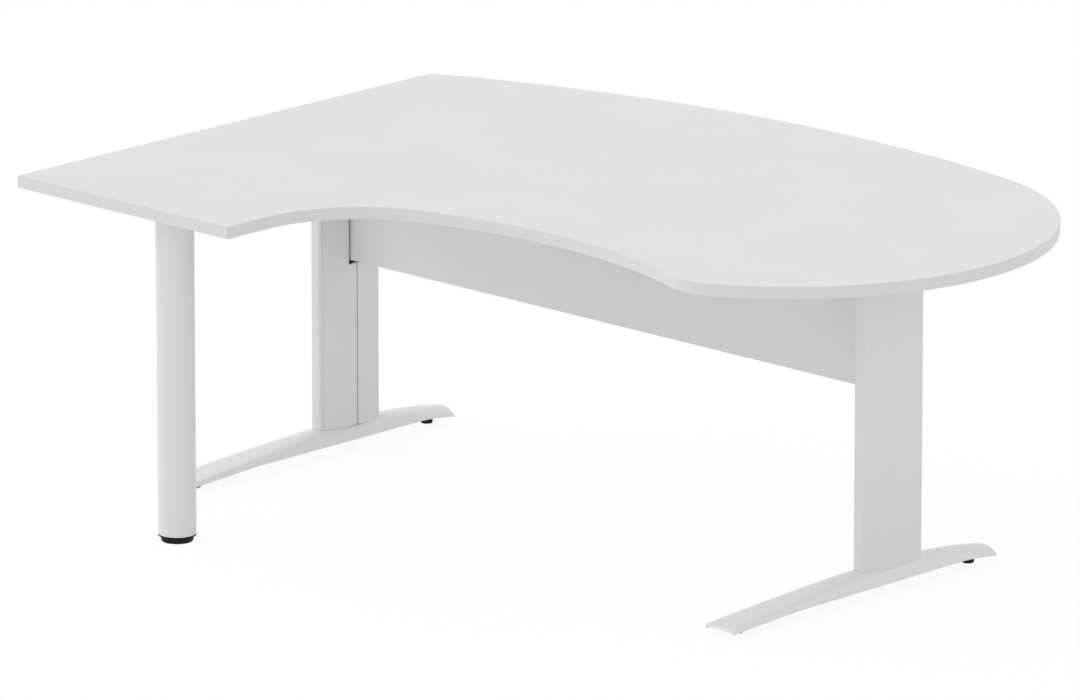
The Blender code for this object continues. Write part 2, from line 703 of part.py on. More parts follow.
    def base_plate_low(self):
        """Return the height of the base plate's underside, just clear of the foot's crest."""
        return max(crown_height(0.0, y) for y in np.linspace(0.0, COLUMN_DEPTH, COLUMN_FACETS)) + JOINT_GAP

    def build_base(self, name, side, carrier):
        """Make the base plate inside the column and the bolts that come up through the foot."""
        outer_inset = COLUMN_WALL + JOINT_GAP
        inner_inset = COVER_LIP_DEPTH + COLUMN_WALL + JOINT_GAP
        front, rear = BASE_PLATE_END, COLUMN_DEPTH - BASE_PLATE_END
        outline = side_line(front, rear, inner_inset, BASE_PLATE_ROWS)
        outline += [(outer_inset - half_width(y), y) for y in np.linspace(rear, front, BASE_PLATE_ROWS + 1)]
        low = self.base_plate_low()
        high = low + BASE_PLATE_THICKNESS
        plate = add_object(f"base_plate_{name}",
                           prism("base_plate", [(side * x, y) for x, y in outline], low, high), carrier,
                           "white_powder_coat")
        holes = [((0.0, y, low), (0.0, 0.0, 1.0), BASE_BOLT_DIAMETER / 2 + SCREW_CLEARANCE,
                  2 * (BASE_PLATE_THICKNESS + CUT_OVERRUN)) for y in self.base_bolt_places()]
        cut(plate, add_object(f"base_plate_holes_{name}", cylinders("holes", holes, HOLE_FACETS), carrier))
        for end, y in zip(("front", "rear"), self.base_bolt_places()):
            seat = crown_height(0.0, y) - FOOT_WALL / 2 - BOLT_BOSS_DEPTH - JOINT_GAP
            mesh = screw_mesh(BASE_BOLT_DIAMETER, high + BASE_BOLT_TAIL - seat, BASE_BOLT_TAIL / 2,
                              BASE_BOLT_HEAD_DIAMETER, BASE_BOLT_HEAD_HEIGHT)
            add_object(f"base_bolt_{end}_{name}", mesh, carrier, "zinc_plated_steel", (0.0, y, seat))

    def arm_screw_places(self):
        """Return where the arm's screws stand, behind the column's nose."""
        return (ARM_SCREW_INSET - ARM_FRONT, -ARM_SCREW_MARGIN, COLUMN_DEPTH + ARM_SCREW_MARGIN,
                ARM_BACK - ARM_SCREW_INSET)

    def build_arm(self, name, side, carrier):
        """Make the channel under the top, notched for the panel, and its screws."""
        top = ARM_WEB_HEIGHT + ARM_SHEET
        half = ARM_WIDTH / 2
        stations = ((-ARM_FRONT, ARM_END_DEPTH), (-ARM_ROOT_MARGIN, ARM_ROOT_DEPTH),
                    (COLUMN_DEPTH + ARM_ROOT_MARGIN, ARM_ROOT_DEPTH), (ARM_BACK, ARM_END_DEPTH))
        rings = []
        for y, depth in stations:
            inner = half - ARM_SHEET
            section = ((-half, top - depth), (-half, top), (half, top), (half, top - depth),
                       (inner, top - depth), (inner, ARM_WEB_HEIGHT), (-inner, ARM_WEB_HEIGHT),
                       (-inner, top - depth))
            rings.append([(x, y, z) for x, z in section])
        arm = add_object(f"arm_{name}", sheet_loft("arm", rings), carrier, "white_powder_coat")
        near, far = sorted((0.0, side * (half + CUT_OVERRUN)))
        notch = box("arm_notch", (near, SLOT_FRONT, top - ARM_ROOT_DEPTH - CUT_OVERRUN),
                    (far, SLOT_BACK, ARM_WEB_HEIGHT))
        cut(arm, add_object(f"arm_notch_{name}", notch, carrier))
        screw_seat = ARM_WEB_HEIGHT - JOINT_GAP
        holes = [((0.0, y, top), (0.0, 0.0, 1.0), SCREW_DIAMETER / 2 + SCREW_CLEARANCE,
                  2 * (ARM_SHEET + CUT_OVERRUN)) for y in self.arm_screw_places()]
        cut(arm, add_object(f"arm_holes_{name}", cylinders("holes", holes, HOLE_FACETS), carrier))
        mesh = screw_mesh(SCREW_DIAMETER, SCREW_LENGTH, SCREW_TIP, SCREW_HEAD_DIAMETER, SCREW_HEAD_HEIGHT)
        for index, y in enumerate(self.arm_screw_places(), start=1):
            add_object(f"arm_screw_{index}_{name}", mesh.copy(), carrier, "zinc_plated_steel",
                       (0.0, y, screw_seat))
            self.pilot_holes.append((self.leg_x[name], y - NOSE_FORWARD, screw_seat))

    def panel_bolt_heights(self):
        """Return the heights of the bolts that hold the panel."""
        return {"lower": PANEL_BOTTOM_HEIGHT + PANEL_BOLT_INSET, "upper": PANEL_TOP_HEIGHT - PANEL_BOLT_INSET}

    def bolt_holes(self, side, y):
        """Return the holes for the panel's bolts, through whatever stands at a depth."""
        return [((-side * PANEL_BOLT_OFFSET, y, height), (0.0, 1.0, 0.0),
                 PANEL_BOLT_DIAMETER / 2 + SCREW_CLEARANCE, 2 * CUT_OVERRUN)
                for height in self.panel_bolt_heights().values()]

    def build_panel_fixing(self, name, side, carrier):
        """Make the plate in the column, the nut plate in the panel and their bolts."""
        plate_back = PANEL_FRONT - JOINT_GAP
        plate_front = plate_back - PANEL_PLATE_THICKNESS
        outer = half_width(plate_front) - COLUMN_WALL - JOINT_GAP
        near, far = sorted((-side * outer, side * PANEL_PLATE_REACH))
        low = PANEL_BOTTOM_HEIGHT + PANEL_PLATE_MARGIN
        high = PANEL_TOP_HEIGHT - PANEL_PLATE_MARGIN - ARM_ROOT_DEPTH
        plate = add_object(f"panel_plate_{name}",
                           box("panel_plate", (near, plate_front, low), (far, plate_back, high)), carrier,
                           "white_powder_coat")
        holes = cylinders("holes", self.bolt_holes(side, plate_front), HOLE_FACETS)
        cut(plate, add_object(f"panel_plate_holes_{name}", holes, carrier))
        nut_front = PANEL_FRONT + PANEL_SHEET + JOINT_GAP
        nut_back = nut_front + NUT_PLATE_THICKNESS
        middle = -side * PANEL_BOLT_OFFSET
        nut = box("nut_plate", (middle - NUT_PLATE_WIDTH / 2, nut_front, low + NUT_PLATE_MARGIN),
                  (middle + NUT_PLATE_WIDTH / 2, nut_back, high - NUT_PLATE_MARGIN))
        nut_plate = add_object(f"panel_nut_plate_{name}", nut, carrier, "zinc_plated_steel")
        cut(nut_plate, add_object(f"nut_plate_holes_{name}",
                                  cylinders("holes", self.bolt_holes(side, nut_front), HOLE_FACETS), carrier))
        head_seat = plate_front - JOINT_GAP
        length = nut_back + PANEL_BOLT_TAIL - head_seat
        mesh = screw_mesh(PANEL_BOLT_DIAMETER, length, PANEL_BOLT_TAIL / 2, PANEL_BOLT_HEAD_DIAMETER,
                          PANEL_BOLT_HEAD_HEIGHT)
        mesh.transform(Matrix.Rotation(-math.pi / 2, 4, "X"))
        for level, height in self.panel_bolt_heights().items():
            add_object(f"panel_bolt_{level}_{name}", mesh.copy(), carrier, "zinc_plated_steel",
                       (middle, head_seat, height))

    def build_panel(self):
        """Make the modesty panel's front tray and its back skin."""
        left = self.leg_x["left"] - PANEL_OVERLAP
        right = self.leg_x["right"] + PANEL_OVERLAP
        front = PANEL_FRONT - NOSE_FORWARD
        back = front + PANEL_DEPTH
        low, high = PANEL_BOTTOM_HEIGHT, PANEL_TOP_HEIGHT
        tray = add_object("modesty_panel_front", box("tray", (left, front, low), (right, back, high)),
                          self.datum, "white_powder_coat")
        sheet = PANEL_SHEET
        pocket = box("pocket", (left + sheet, front + sheet, low + sheet),
                     (right - sheet, back + CUT_OVERRUN, high - sheet))
        cut(tray, add_object("panel_pocket", pocket, self.datum))
        holes = []
        for name, side in (("left", 1.0), ("right", -1.0)):
            for centre, axis, radius, length in self.bolt_holes(side, PANEL_FRONT):
                moved = (centre[0] + self.leg_x[name], centre[1] - NOSE_FORWARD, centre[2])
                holes.append((moved, axis, radius, length))
        cut(tray, add_object("panel_holes", cylinders("holes", holes, HOLE_FACETS), self.datum))
        inset = sheet + JOINT_GAP
        add_object("modesty_panel_back",
                   box("skin", (left + inset, back - sheet, low + inset), (right - inset, back, high - inset)),
                   self.datum, "white_powder_coat")

    def build_pole(self):
        """Make the round leg under the return, with its plate, cap and glide."""
        carrier = add_empty("pole_leg", (self.pole[0], self.pole[1], 0.0), self.datum)
        outer, bore = POLE_DIAMETER / 2, POLE_DIAMETER / 2 - POLE_WALL
        plate_high = TOP_UNDERSIDE - JOINT_GAP
        plate_low = plate_high - POLE_PLATE_THICKNESS
        tube_high = plate_low - JOINT_GAP
        rings = []
        for height in (POLE_BOTTOM_HEIGHT, tube_high):
            rings.append([(radius * math.cos(turn), radius * math.sin(turn), height)
                          for radius in (outer, bore)
                          for turn in 2 * math.pi * np.arange(POLE_FACETS) / POLE_FACETS])
        add_object("pole_tube", self.tube_mesh(rings), carrier, "white_powder_coat")
        half = POLE_PLATE_SIZE / 2
        corner = half - POLE_PLATE_CORNER
        outline = []
        for x, y, start in ((1, 1, 0), (-1, 1, 1), (-1, -1, 2), (1, -1, 3)):
            outline += arc((x * corner, y * corner), POLE_PLATE_CORNER, start * math.pi / 2,
                           (start + 1) * math.pi / 2, CORNER_FACETS)
        plate = add_object("pole_top_plate", prism("plate", outline, plate_low, plate_high), carrier,
                           "white_powder_coat")
        reach = half - POLE_SCREW_INSET
        places = [(x * reach, y * reach) for x, y in ((-1, -1), (1, -1), (1, 1), (-1, 1))]
        holes = [((x, y, plate_low), (0.0, 0.0, 1.0), SCREW_DIAMETER / 2 + SCREW_CLEARANCE,
                  2 * (POLE_PLATE_THICKNESS + CUT_OVERRUN)) for x, y in places]
        cut(plate, add_object("pole_plate_holes", cylinders("holes", holes, HOLE_FACETS), carrier))
        seat = plate_low - JOINT_GAP
        mesh = screw_mesh(SCREW_DIAMETER, SCREW_LENGTH, SCREW_TIP, SCREW_HEAD_DIAMETER, SCREW_HEAD_HEIGHT)
        for index, (x, y) in enumerate(places, start=1):
            add_object(f"pole_screw_{index}", mesh.copy(), carrier, "zinc_plated_steel", (x, y, seat))
            self.pilot_holes.append((self.pole[0] + x, self.pole[1] + y, seat))
        self.build_pole_foot(carrier, outer, bore)

    def tube_mesh(self, rings):
        """Make a round tube from its lower and its upper ring."""
        count = POLE_FACETS
        points = rings[0] + rings[1]
        faces = []
        for index in range(count):
            after = (index + 1) % count
            for first, second in ((0, 2 * count), (count, 3 * count), (0, count), (2 * count, 3 * count)):
                faces.append((first + index, first + after, second + after, second + index))
        return closed_mesh("tube", points, faces, SMOOTH_ANGLE)

    def build_pole_foot(self, carrier, outer, bore):
        """Make the cap in the pole and the glide that screws into it."""
        stud = GLIDE_STUD_DIAMETER / 2
        glide_high = POLE_BOTTOM_HEIGHT - JOINT_GAP - CAP_LIP - JOINT_GAP
        lip_low, lip_high = glide_high + JOINT_GAP, POLE_BOTTOM_HEIGHT - JOINT_GAP
        plug = bore - JOINT_GAP
        hole = stud + SCREW_CLEARANCE
        plug_high = lip_high + CAP_PLUG_HEIGHT
        cap_profile = ((hole, lip_low), (outer, lip_low), (outer, lip_high), (plug, lip_high),
                       (plug, plug_high), (plug - POLE_WALL, plug_high),
                       (plug - POLE_WALL, lip_high), (hole + CAP_BORE_WALL, lip_high),
                       (hole + CAP_BORE_WALL, plug_high), (hole, plug_high))
        points, faces = [], []
        for radius, height in cap_profile:
            for turn in 2 * math.pi * np.arange(POLE_FACETS) / POLE_FACETS:
                points.append((radius * math.cos(turn), radius * math.sin(turn), height))
        for ring in range(len(cap_profile)):
            above = (ring + 1) % len(cap_profile)
            for index in range(POLE_FACETS):
                after = (index + 1) % POLE_FACETS
                faces.append((ring * POLE_FACETS + index, ring * POLE_FACETS + after,
                              above * POLE_FACETS + after, above * POLE_FACETS + index))
        add_object("pole_cap", closed_mesh("cap", points, faces, SMOOTH_ANGLE), carrier, "black_plastic")
        rim = GLIDE_DIAMETER / 2
        socket = stud + JOINT_GAP
        glide_profile = ((0.0, 0.0), (rim - GLIDE_EDGE, 0.0), (rim, GLIDE_EDGE), (rim, glide_high),
                         (socket, glide_high), (socket, GLIDE_STUD_SEAT - JOINT_GAP),
                         (0.0, GLIDE_STUD_SEAT - JOINT_GAP))
        stud_profile = ((0.0, GLIDE_STUD_SEAT), (stud, GLIDE_STUD_SEAT), (stud, GLIDE_STUD_TOP),
                        (0.0, GLIDE_STUD_TOP))
        add_object("pole_glide", turned("glide", glide_profile, POLE_FACETS), carrier, "black_plastic")
        add_object("pole_glide_stud", turned("glide_stud", stud_profile, STUD_FACETS), carrier,
                   "zinc_plated_steel")

    def build_top(self):
        """Make the board with its pilot holes and the three strips of edging."""
        plan = self.plan
        low, high = TOP_UNDERSIDE, TOP_HEIGHT
        inset = BAND_THICKNESS + JOINT_GAP
        board = add_object("desktop_board", prism("board", plan.outline(inset), low, high), self.datum,
                           "white_laminate")
        radius = SCREW_DIAMETER / 2 + SCREW_CLEARANCE
        holes = []
        for x, y, seat in self.pilot_holes:
            deep = seat + SCREW_LENGTH + JOINT_GAP
            bottom = low - CUT_OVERRUN
            holes.append(((x, y, (deep + bottom) / 2), (0.0, 0.0, 1.0), radius, deep - bottom))
        cut(board, add_object("pilot_holes", cylinders("holes", holes, HOLE_FACETS), self.datum))
        end_y = inset - RETURN_LENGTH
        band = BAND_THICKNESS
        outer = plan.curved_edge(0.0, inset, end_y)
        inner = plan.curved_edge(band, inset, end_y)
        rings = [[(x, y, height) for x, y in outer + inner[::-1]] for height in (low, high)]
        add_object("edge_band_curved", sheet_loft("edge_band", rings), self.datum, "white_edging")
        left = ((0.0, -RETURN_LENGTH), (band, -RETURN_LENGTH), plan.back_point(0.0, band),
                plan.back_point(0.0, 0.0))
        add_object("edge_band_left", prism("edge_band", left, low, high), self.datum, "white_edging")
        add_object("edge_band_return",
                   box("edge_band", (inset, -RETURN_LENGTH, low), (RETURN_WIDTH, band - RETURN_LENGTH, high)),
                   self.datum, "white_edging")


def main():
    """Build the desk in an empty scene."""
    clear_scene()
    Desk().build()
    bpy.context.view_layer.update()


main()
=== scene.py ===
"""Looks of the compact office desk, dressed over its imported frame.

The desk has a white board with a straight return and a rounded end, two cast feet with folded
steel columns and pull-off cable covers, a double modesty panel and one round pole leg. Lengths
are metres, in the frame's own coordinates: +X towards the rounded end, +Y to the back, +Z up.
"""

import json
import logging
import math
from dataclasses import dataclass
from enum import Enum
from typing import Sequence

import bmesh
import bpy
import numpy as np
from bmesh.types import BMEdge, BMesh
from bpy.types import ID, Material, Mesh, Node, NodeSocket, NodeTree, Object, bpy_prop_collection
from mathutils import Matrix, Vector
from mathutils.bvhtree import BVHTree

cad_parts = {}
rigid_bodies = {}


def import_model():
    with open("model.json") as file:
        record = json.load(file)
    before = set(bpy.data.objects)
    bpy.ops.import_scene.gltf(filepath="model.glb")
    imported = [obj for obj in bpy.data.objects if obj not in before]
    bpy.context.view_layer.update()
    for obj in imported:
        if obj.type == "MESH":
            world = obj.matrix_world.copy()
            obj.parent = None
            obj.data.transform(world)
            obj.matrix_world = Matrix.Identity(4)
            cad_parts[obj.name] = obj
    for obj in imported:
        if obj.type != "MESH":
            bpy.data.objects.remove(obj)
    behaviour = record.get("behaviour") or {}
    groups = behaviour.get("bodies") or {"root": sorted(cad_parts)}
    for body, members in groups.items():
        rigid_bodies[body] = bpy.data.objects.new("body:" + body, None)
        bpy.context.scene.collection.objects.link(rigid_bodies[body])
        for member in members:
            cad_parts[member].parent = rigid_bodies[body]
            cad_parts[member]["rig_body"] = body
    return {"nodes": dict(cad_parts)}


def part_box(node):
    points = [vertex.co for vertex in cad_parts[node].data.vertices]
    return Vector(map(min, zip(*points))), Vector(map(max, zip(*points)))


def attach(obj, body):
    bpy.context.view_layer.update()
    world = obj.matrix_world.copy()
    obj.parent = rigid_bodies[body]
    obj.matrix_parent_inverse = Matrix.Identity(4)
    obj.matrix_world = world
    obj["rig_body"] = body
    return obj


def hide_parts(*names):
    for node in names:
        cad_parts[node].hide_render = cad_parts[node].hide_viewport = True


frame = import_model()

log = logging.getLogger("desk")

Colour = tuple[float, float, float]
Pair = tuple[float, float]

SIDES = ("left", "right")
ENDS = ("front", "rear")
LEVELS = ("lower", "upper")
WHITE = (1.0, 1.0, 1.0, 1.0)

# Turns in degrees: a smaller turn than the first is flat, and a larger one than the second is an
# edge that gets broken. Turns up to the last two are shaded smooth, on threads and elsewhere.
FLAT_TURN = 0.05
EDGE_TURN = 35.0
THREAD_TURN = 35.0
SMOOTH_TURN = 50.0

# Corners that are closer than this become one, in new meshes and in copies of the frame's
NEW_JOIN = 1e-7
COPY_JOIN = 1e-6

# The most that the normal of an upright face points up or down
UPRIGHT = 0.5

# Steps round a broken rim, and sides round a threaded piece
RIM_STEPS = 3
STUD_FACETS = 48

# Half the width of a cross recess's arm and the face of a nut, as shares of the radius
CROSS_ARM = 0.30
NUT_FACE = 0.86

# The ribs round a pad
PAD_RIBS = 24
PAD_RIB_DEPTH = 0.0002

# A thread's depth as a share of its pitch, and its levels in one turn
THREAD_DEPTH = 0.6
THREAD_LEVELS = 6

# Stands in for zero where something is divided by it
NEAR_ZERO = 1e-6


# Shader nodes


@dataclass
class NodeSheet:
    """Adds shader nodes to the node tree of a material, a world or a group, and joins their sockets."""

    tree: NodeTree

    def add(self, kind: str, inputs: dict | None = None, **settings: object) -> Node:
        """Add one node.

        Args:
            kind: The node's Blender type name.
            inputs: Values or source sockets by input name or number.
            settings: Attributes of the node itself.

        Returns:
            The new node.
        """
        node = self.tree.nodes.new(kind)
        for name, value in settings.items():
            setattr(node, name, value)
        for name, value in (inputs or {}).items():
            self.put(node.inputs[name], value)
        return node

    def put(self, socket: NodeSocket, value: object) -> None:
        """Join a socket to another one, or give it a plain value.

        Args:
            socket: The input that is set.
            value: A source socket, a number or a colour.
        """
        if isinstance(value, NodeSocket):
            self.tree.links.new(value, socket)
        else:
            socket.default_value = value

    def noise(self, place: NodeSocket, scale: object, detail: float = 2.0) -> NodeSocket:
        """Add a noise texture.

        Args:
            place: Where the surface is.
            scale: Cycles per metre.
            detail: How many finer layers are added.

        Returns:
            The texture's value.
        """
        return self.add("ShaderNodeTexNoise", {"Vector": place, "Scale": scale, "Detail": detail}).outputs[0]

    def math(self, operation: str, *values: object) -> NodeSocket:
        """Add a Math node.

        Args:
            operation: The Math node's operation.
            values: The numbers or sockets that it works on.

        Returns:
            The result.
        """
        return self.add("ShaderNodeMath", dict(enumerate(values)), operation=operation).outputs[0]

    def spread(self, value: object, low: float, high: float, start: float = 0.0,
               end: float = 1.0) -> NodeSocket:
        """Map a value from one range to another.

        Args:
            value: The value socket.
            low: The lowest value that is told apart.
            high: The highest value that is told apart.
            start: The result at the lowest value.
            end: The result at the highest value.

        Returns:
            The mapped value.
        """
        inputs = {"Value": value, "From Min": low, "From Max": high, "To Min": start, "To Max": end}
        return self.add("ShaderNodeMapRange", inputs).outputs[0]

    def blend(self, share: NodeSocket, first: object, second: object) -> NodeSocket:
        """Mix two colours.

        Args:
            share: How much of the second colour there is.
            first: A colour or its socket.
            second: A colour or its socket.

        Returns:
            The mixed colour.
        """
        inputs = {"Factor": share, "A": first, "B": second}
        return self.add("ShaderNodeMix", inputs, data_type="RGBA").outputs["Result"]


class Effect:
    """A shader node group that more than one finish uses, built once.

    Its inputs are a place on the surface and the named numbers, given here with their first values.
    """

    name: str
    numbers: dict[str, float]

    def used(self, sheet: NodeSheet, **inputs: object) -> bpy_prop_collection:
        """Put the effect into a material.

        Args:
            sheet: Where the node goes.
            inputs: Values or source sockets by input name.

        Returns:
            The effect's output sockets.
        """
        return sheet.add("ShaderNodeGroup", inputs, node_tree=self.group()).outputs

    def group(self) -> NodeTree:
        """Return the effect's node group, made on first use.

        Returns:
            The node group.
        """
        if self.name in bpy.data.node_groups:
            return bpy.data.node_groups[self.name]
        tree = bpy.data.node_groups.new(self.name, "ShaderNodeTree")
        tree.interface.new_socket("Place", in_out="INPUT", socket_type="NodeSocketVector")
        for label, value in self.numbers.items():
            socket = tree.interface.new_socket(label, in_out="INPUT", socket_type="NodeSocketFloat")
            socket.default_value = value
        sheet = NodeSheet(tree)
        results = self.fill(sheet, sheet.add("NodeGroupInput").outputs)
        for label in results:
            tree.interface.new_socket(label, in_out="OUTPUT", socket_type="NodeSocketFloat")
        sheet.add("NodeGroupOutput", results)
        return tree

    def fill(self, sheet: NodeSheet, given: bpy_prop_collection) -> dict:
        """Add the effect's own nodes.

        Args:
            sheet: Where the nodes go.
            given: The group's inputs.

        Returns:
            The group's outputs by name.
        """
        raise NotImplementedError


class OrangePeel(Effect):
    """The soft pimpled skin of powder coat and moulded plastic."""

    name = "orange_peel"
    numbers = {"Scale": 600.0, "Fineness": 0.4}
    finer = 3.7

    def fill(self, sheet: NodeSheet, given: bpy_prop_collection) -> dict:
        """Add a broad swell under a finer grain.

        Args:
            sheet: Where the nodes go.
            given: The group's inputs.

        Returns:
            The group's outputs by name.
        """
        broad = sheet.noise(given["Place"], given["Scale"], detail=1.0)
        fine = sheet.noise(given["Place"], sheet.math("MULTIPLY", given["Scale"], self.finer))
        return {"Height": sheet.math("MULTIPLY_ADD", fine, given["Fineness"], broad)}


class Handling(Effect):
    """Faint cloudy tones and hairline rubs that handling leaves."""

    name = "handling"
    numbers = {"Cloud scale": 4.0}
    cloud_band = (0.35, 0.70)
    hair_scale = (9.0, 340.0, 340.0)
    hair_band = (0.66, 0.74)
    patch_scale = 5.0
    patch_band = (0.52, 0.72)

    def fill(self, sheet: NodeSheet, given: bpy_prop_collection) -> dict:
        """Add clouds, and patches of rubs that are long in one direction.

        Args:
            sheet: Where the nodes go.
            given: The group's inputs.

        Returns:
            The group's outputs by name.
        """
        place = given["Place"]
        clouds = sheet.noise(place, given["Cloud scale"], detail=3.0)
        drawn = sheet.add("ShaderNodeVectorMath", {0: place, 1: self.hair_scale}, operation="MULTIPLY")
        hair = sheet.spread(sheet.noise(drawn.outputs[0], 1.0, detail=1.0), *self.hair_band)
        patch = sheet.spread(sheet.noise(place, self.patch_scale, detail=1.0), *self.patch_band)
        return {"Clouds": sheet.spread(clouds, *self.cloud_band), "Rubs": sheet.math("MULTIPLY", hair, patch)}


class SettledDust(Effect):
    """A thin veil of dust that lies only on surfaces that face up."""

    name = "settled_dust"
    numbers = {}
    facing_band = (0.55, 0.98)
    speckle_scale = 1400.0
    speckle_band = (0.50, 0.80)
    drift_scale = 7.0
    drift_band = (0.30, 0.75)
    thinnest = 0.3
    colour = (0.55, 0.54, 0.52, 1.0)
    rougher = 0.5

    def fill(self, sheet: NodeSheet, given: bpy_prop_collection) -> dict:
        """Mask a drifting speckle by how far the surface faces up.

        Args:
            sheet: Where the nodes go.
            given: The group's inputs.

        Returns:
            The group's outputs by name.
        """
        place = given["Place"]
        normal = sheet.add("ShaderNodeNewGeometry").outputs["Normal"]
        up = sheet.add("ShaderNodeSeparateXYZ", {0: normal}).outputs["Z"]
        facing = sheet.spread(up, *self.facing_band)
        speckle = sheet.spread(sheet.noise(place, self.speckle_scale), *self.speckle_band)
        drift = sheet.spread(sheet.noise(place, self.drift_scale), *self.drift_band, start=self.thinnest)
        return {"Dust": sheet.math("MULTIPLY", sheet.math("MULTIPLY", facing, speckle), drift)}


# Finishes


@dataclass(frozen=True)
class Finish:
    """One finish of the desk, and the record's slot that it answers to."""

    slot: str
    colour: Colour
    tone: Colour
    roughness: float
    roughness_rise: float
    peel_scale: float
    peel_depth: float
    fineness: float = 0.4
    relief: float = 0.35
    metallic: float = 0.0
    specular: float = 0.5
    dusty: float = 0.0

    def material(self) -> Material:
        """Return the finish's material, made on first use.

        Returns:
            The material.
        """
        name = f"finished_{self.slot}"
        if name in bpy.data.materials:
            return bpy.data.materials[name]
        made = bpy.data.materials.new(name)
        made.use_nodes = True
        shader = made.node_tree.nodes["Principled BSDF"]
        shader.inputs["Metallic"].default_value = self.metallic
        shader.inputs["Specular IOR Level"].default_value = self.specular
        self.dress(NodeSheet(made.node_tree), shader)
        return made

    def dress(self, sheet: NodeSheet, shader: Node) -> None:
        """Join colour, roughness and relief to the shader.

        Args:
            sheet: Where the nodes go.
            shader: The material's own shader.
        """
        place = sheet.add("ShaderNodeTexCoord").outputs["Object"]
        marks = Handling().used(sheet, Place=place)
        colour = sheet.blend(marks["Clouds"], (*self.colour, 1.0), (*self.tone, 1.0))
        rough = sheet.spread(marks["Rubs"], 0.0, 1.0, self.roughness, self.roughness + self.roughness_rise)
        if self.dusty:
            dust = SettledDust()
            veil = sheet.math("MULTIPLY", dust.used(sheet, Place=place)["Dust"], self.dusty)
            colour = sheet.blend(veil, colour, dust.colour)
            rough = sheet.math("MULTIPLY_ADD", veil, dust.rougher, rough)
        peel = OrangePeel().used(sheet, Place=place, Scale=self.peel_scale, Fineness=self.fineness)
        bump = sheet.add("ShaderNodeBump", {"Strength": self.relief, "Distance": self.peel_depth,
                                            "Height": peel["Height"]})
        sheet.put(shader.inputs["Base Color"], colour)
        sheet.put(shader.inputs["Roughness"], rough)
        sheet.put(shader.inputs["Normal"], bump.outputs[0])


class Finishes(Enum):
    """The finishes that the desk's pieces take."""

    LAMINATE = Finish("white_laminate", colour=(0.820, 0.820, 0.820), tone=(0.806, 0.806, 0.808),
                      roughness=0.46, roughness_rise=0.05, peel_scale=1900.0, peel_depth=0.00006,
                      fineness=0.7, specular=0.3, dusty=0.02)
    EDGING = Finish("white_edging", colour=(0.745, 0.745, 0.745), tone=(0.735, 0.735, 0.735),
                    roughness=0.42, roughness_rise=0.06, peel_scale=900.0, peel_depth=0.00003,
                    specular=0.3)
    POWDER_COAT = Finish("white_powder_coat", colour=(0.790, 0.790, 0.790), tone=(0.778, 0.778, 0.780),
                         roughness=0.48, roughness_rise=0.06, peel_scale=650.0, peel_depth=0.00008,
                         specular=0.3)
    CAST_COAT = Finish("white_cast_alloy", colour=(0.830, 0.830, 0.830), tone=(0.816, 0.816, 0.818),
                       roughness=0.40, roughness_rise=0.06, peel_scale=420.0, peel_depth=0.00010,
                       specular=0.85, dusty=0.02)
    BLACK_PLASTIC = Finish("black_plastic", colour=(0.007, 0.007, 0.008), tone=(0.012, 0.012, 0.012),
                           roughness=0.56, roughness_rise=0.12, peel_scale=1300.0, peel_depth=0.00010,
                           fineness=0.8, specular=0.2)
    GREY_PLASTIC = Finish("grey_plastic", colour=(0.42, 0.42, 0.43), tone=(0.38, 0.38, 0.39),
                          roughness=0.50, roughness_rise=0.10, peel_scale=1300.0, peel_depth=0.00008,
                          fineness=0.8)
    ZINC = Finish("zinc_plated_steel", colour=(0.62, 0.62, 0.64), tone=(0.50, 0.50, 0.51),
                  roughness=0.28, roughness_rise=0.16, peel_scale=2200.0, peel_depth=0.00003,
                  fineness=0.6, metallic=1.0)


# Turned meshes


class Outline(Enum):
    """The shapes that one level of a turned piece may have."""

    ROUND = "round"
    HEXAGON = "hexagon"
    CROSS = "cross"
    RIBBED = "ribbed"


@dataclass(frozen=True)
class Ring:
    """One level of a turned piece; with a pitch it is a level of a thread."""

    radius: float
    height: float
    outline: Outline = Outline.ROUND
    pitch: float = 0.0

    def reach(self, turn: float) -> float:
        """Return how far the level reaches from the axis in one direction.

        Args:
            turn: The direction, in radians.

        Returns:
            The distance from the axis.
        """
        if self.outline is Outline.HEXAGON:
            sixth = math.pi / 3
            return self.radius * math.cos(sixth / 2) / math.cos((turn % sixth) - sixth / 2)
        if self.outline is Outline.CROSS:
            along, aside = abs(math.cos(turn)), abs(math.sin(turn))
            arm = self.radius * CROSS_ARM
            return max(min(self.radius / max(one, NEAR_ZERO), arm / max(other, NEAR_ZERO))
                       for one, other in ((along, aside), (aside, along)))
        if self.outline is Outline.RIBBED:
            return self.radius - PAD_RIB_DEPTH * (1 + math.cos(PAD_RIBS * turn))
        if self.pitch:
            phase = (self.height / self.pitch - turn / (2 * math.pi)) % 1.0
            return self.radius - THREAD_DEPTH * self.pitch * abs(2 * phase - 1)
        return self.radius


def finished_mesh(name: str, points: Sequence[Sequence[float]], faces: Sequence[Sequence[int]],
                  smooth: float) -> Mesh:
    """Make a mesh with its faces pointing out and shaded smooth where they turn gently.

    Args:
        name: The mesh's name.
        points: Its corners.
        faces: Its faces, as numbers of corners.
        smooth: The sharpest turn that is shaded smooth, in degrees.

    Returns:
        The mesh.
    """
    mesh = bpy.data.meshes.new(name)
    mesh.from_pydata([tuple(point) for point in points], [], faces)
    work = bmesh.new()
    work.from_mesh(mesh)
    bmesh.ops.remove_doubles(work, verts=work.verts, dist=NEW_JOIN)
    bmesh.ops.recalc_face_normals(work, faces=work.faces)
    take_shape(mesh, work, smooth)
    return mesh


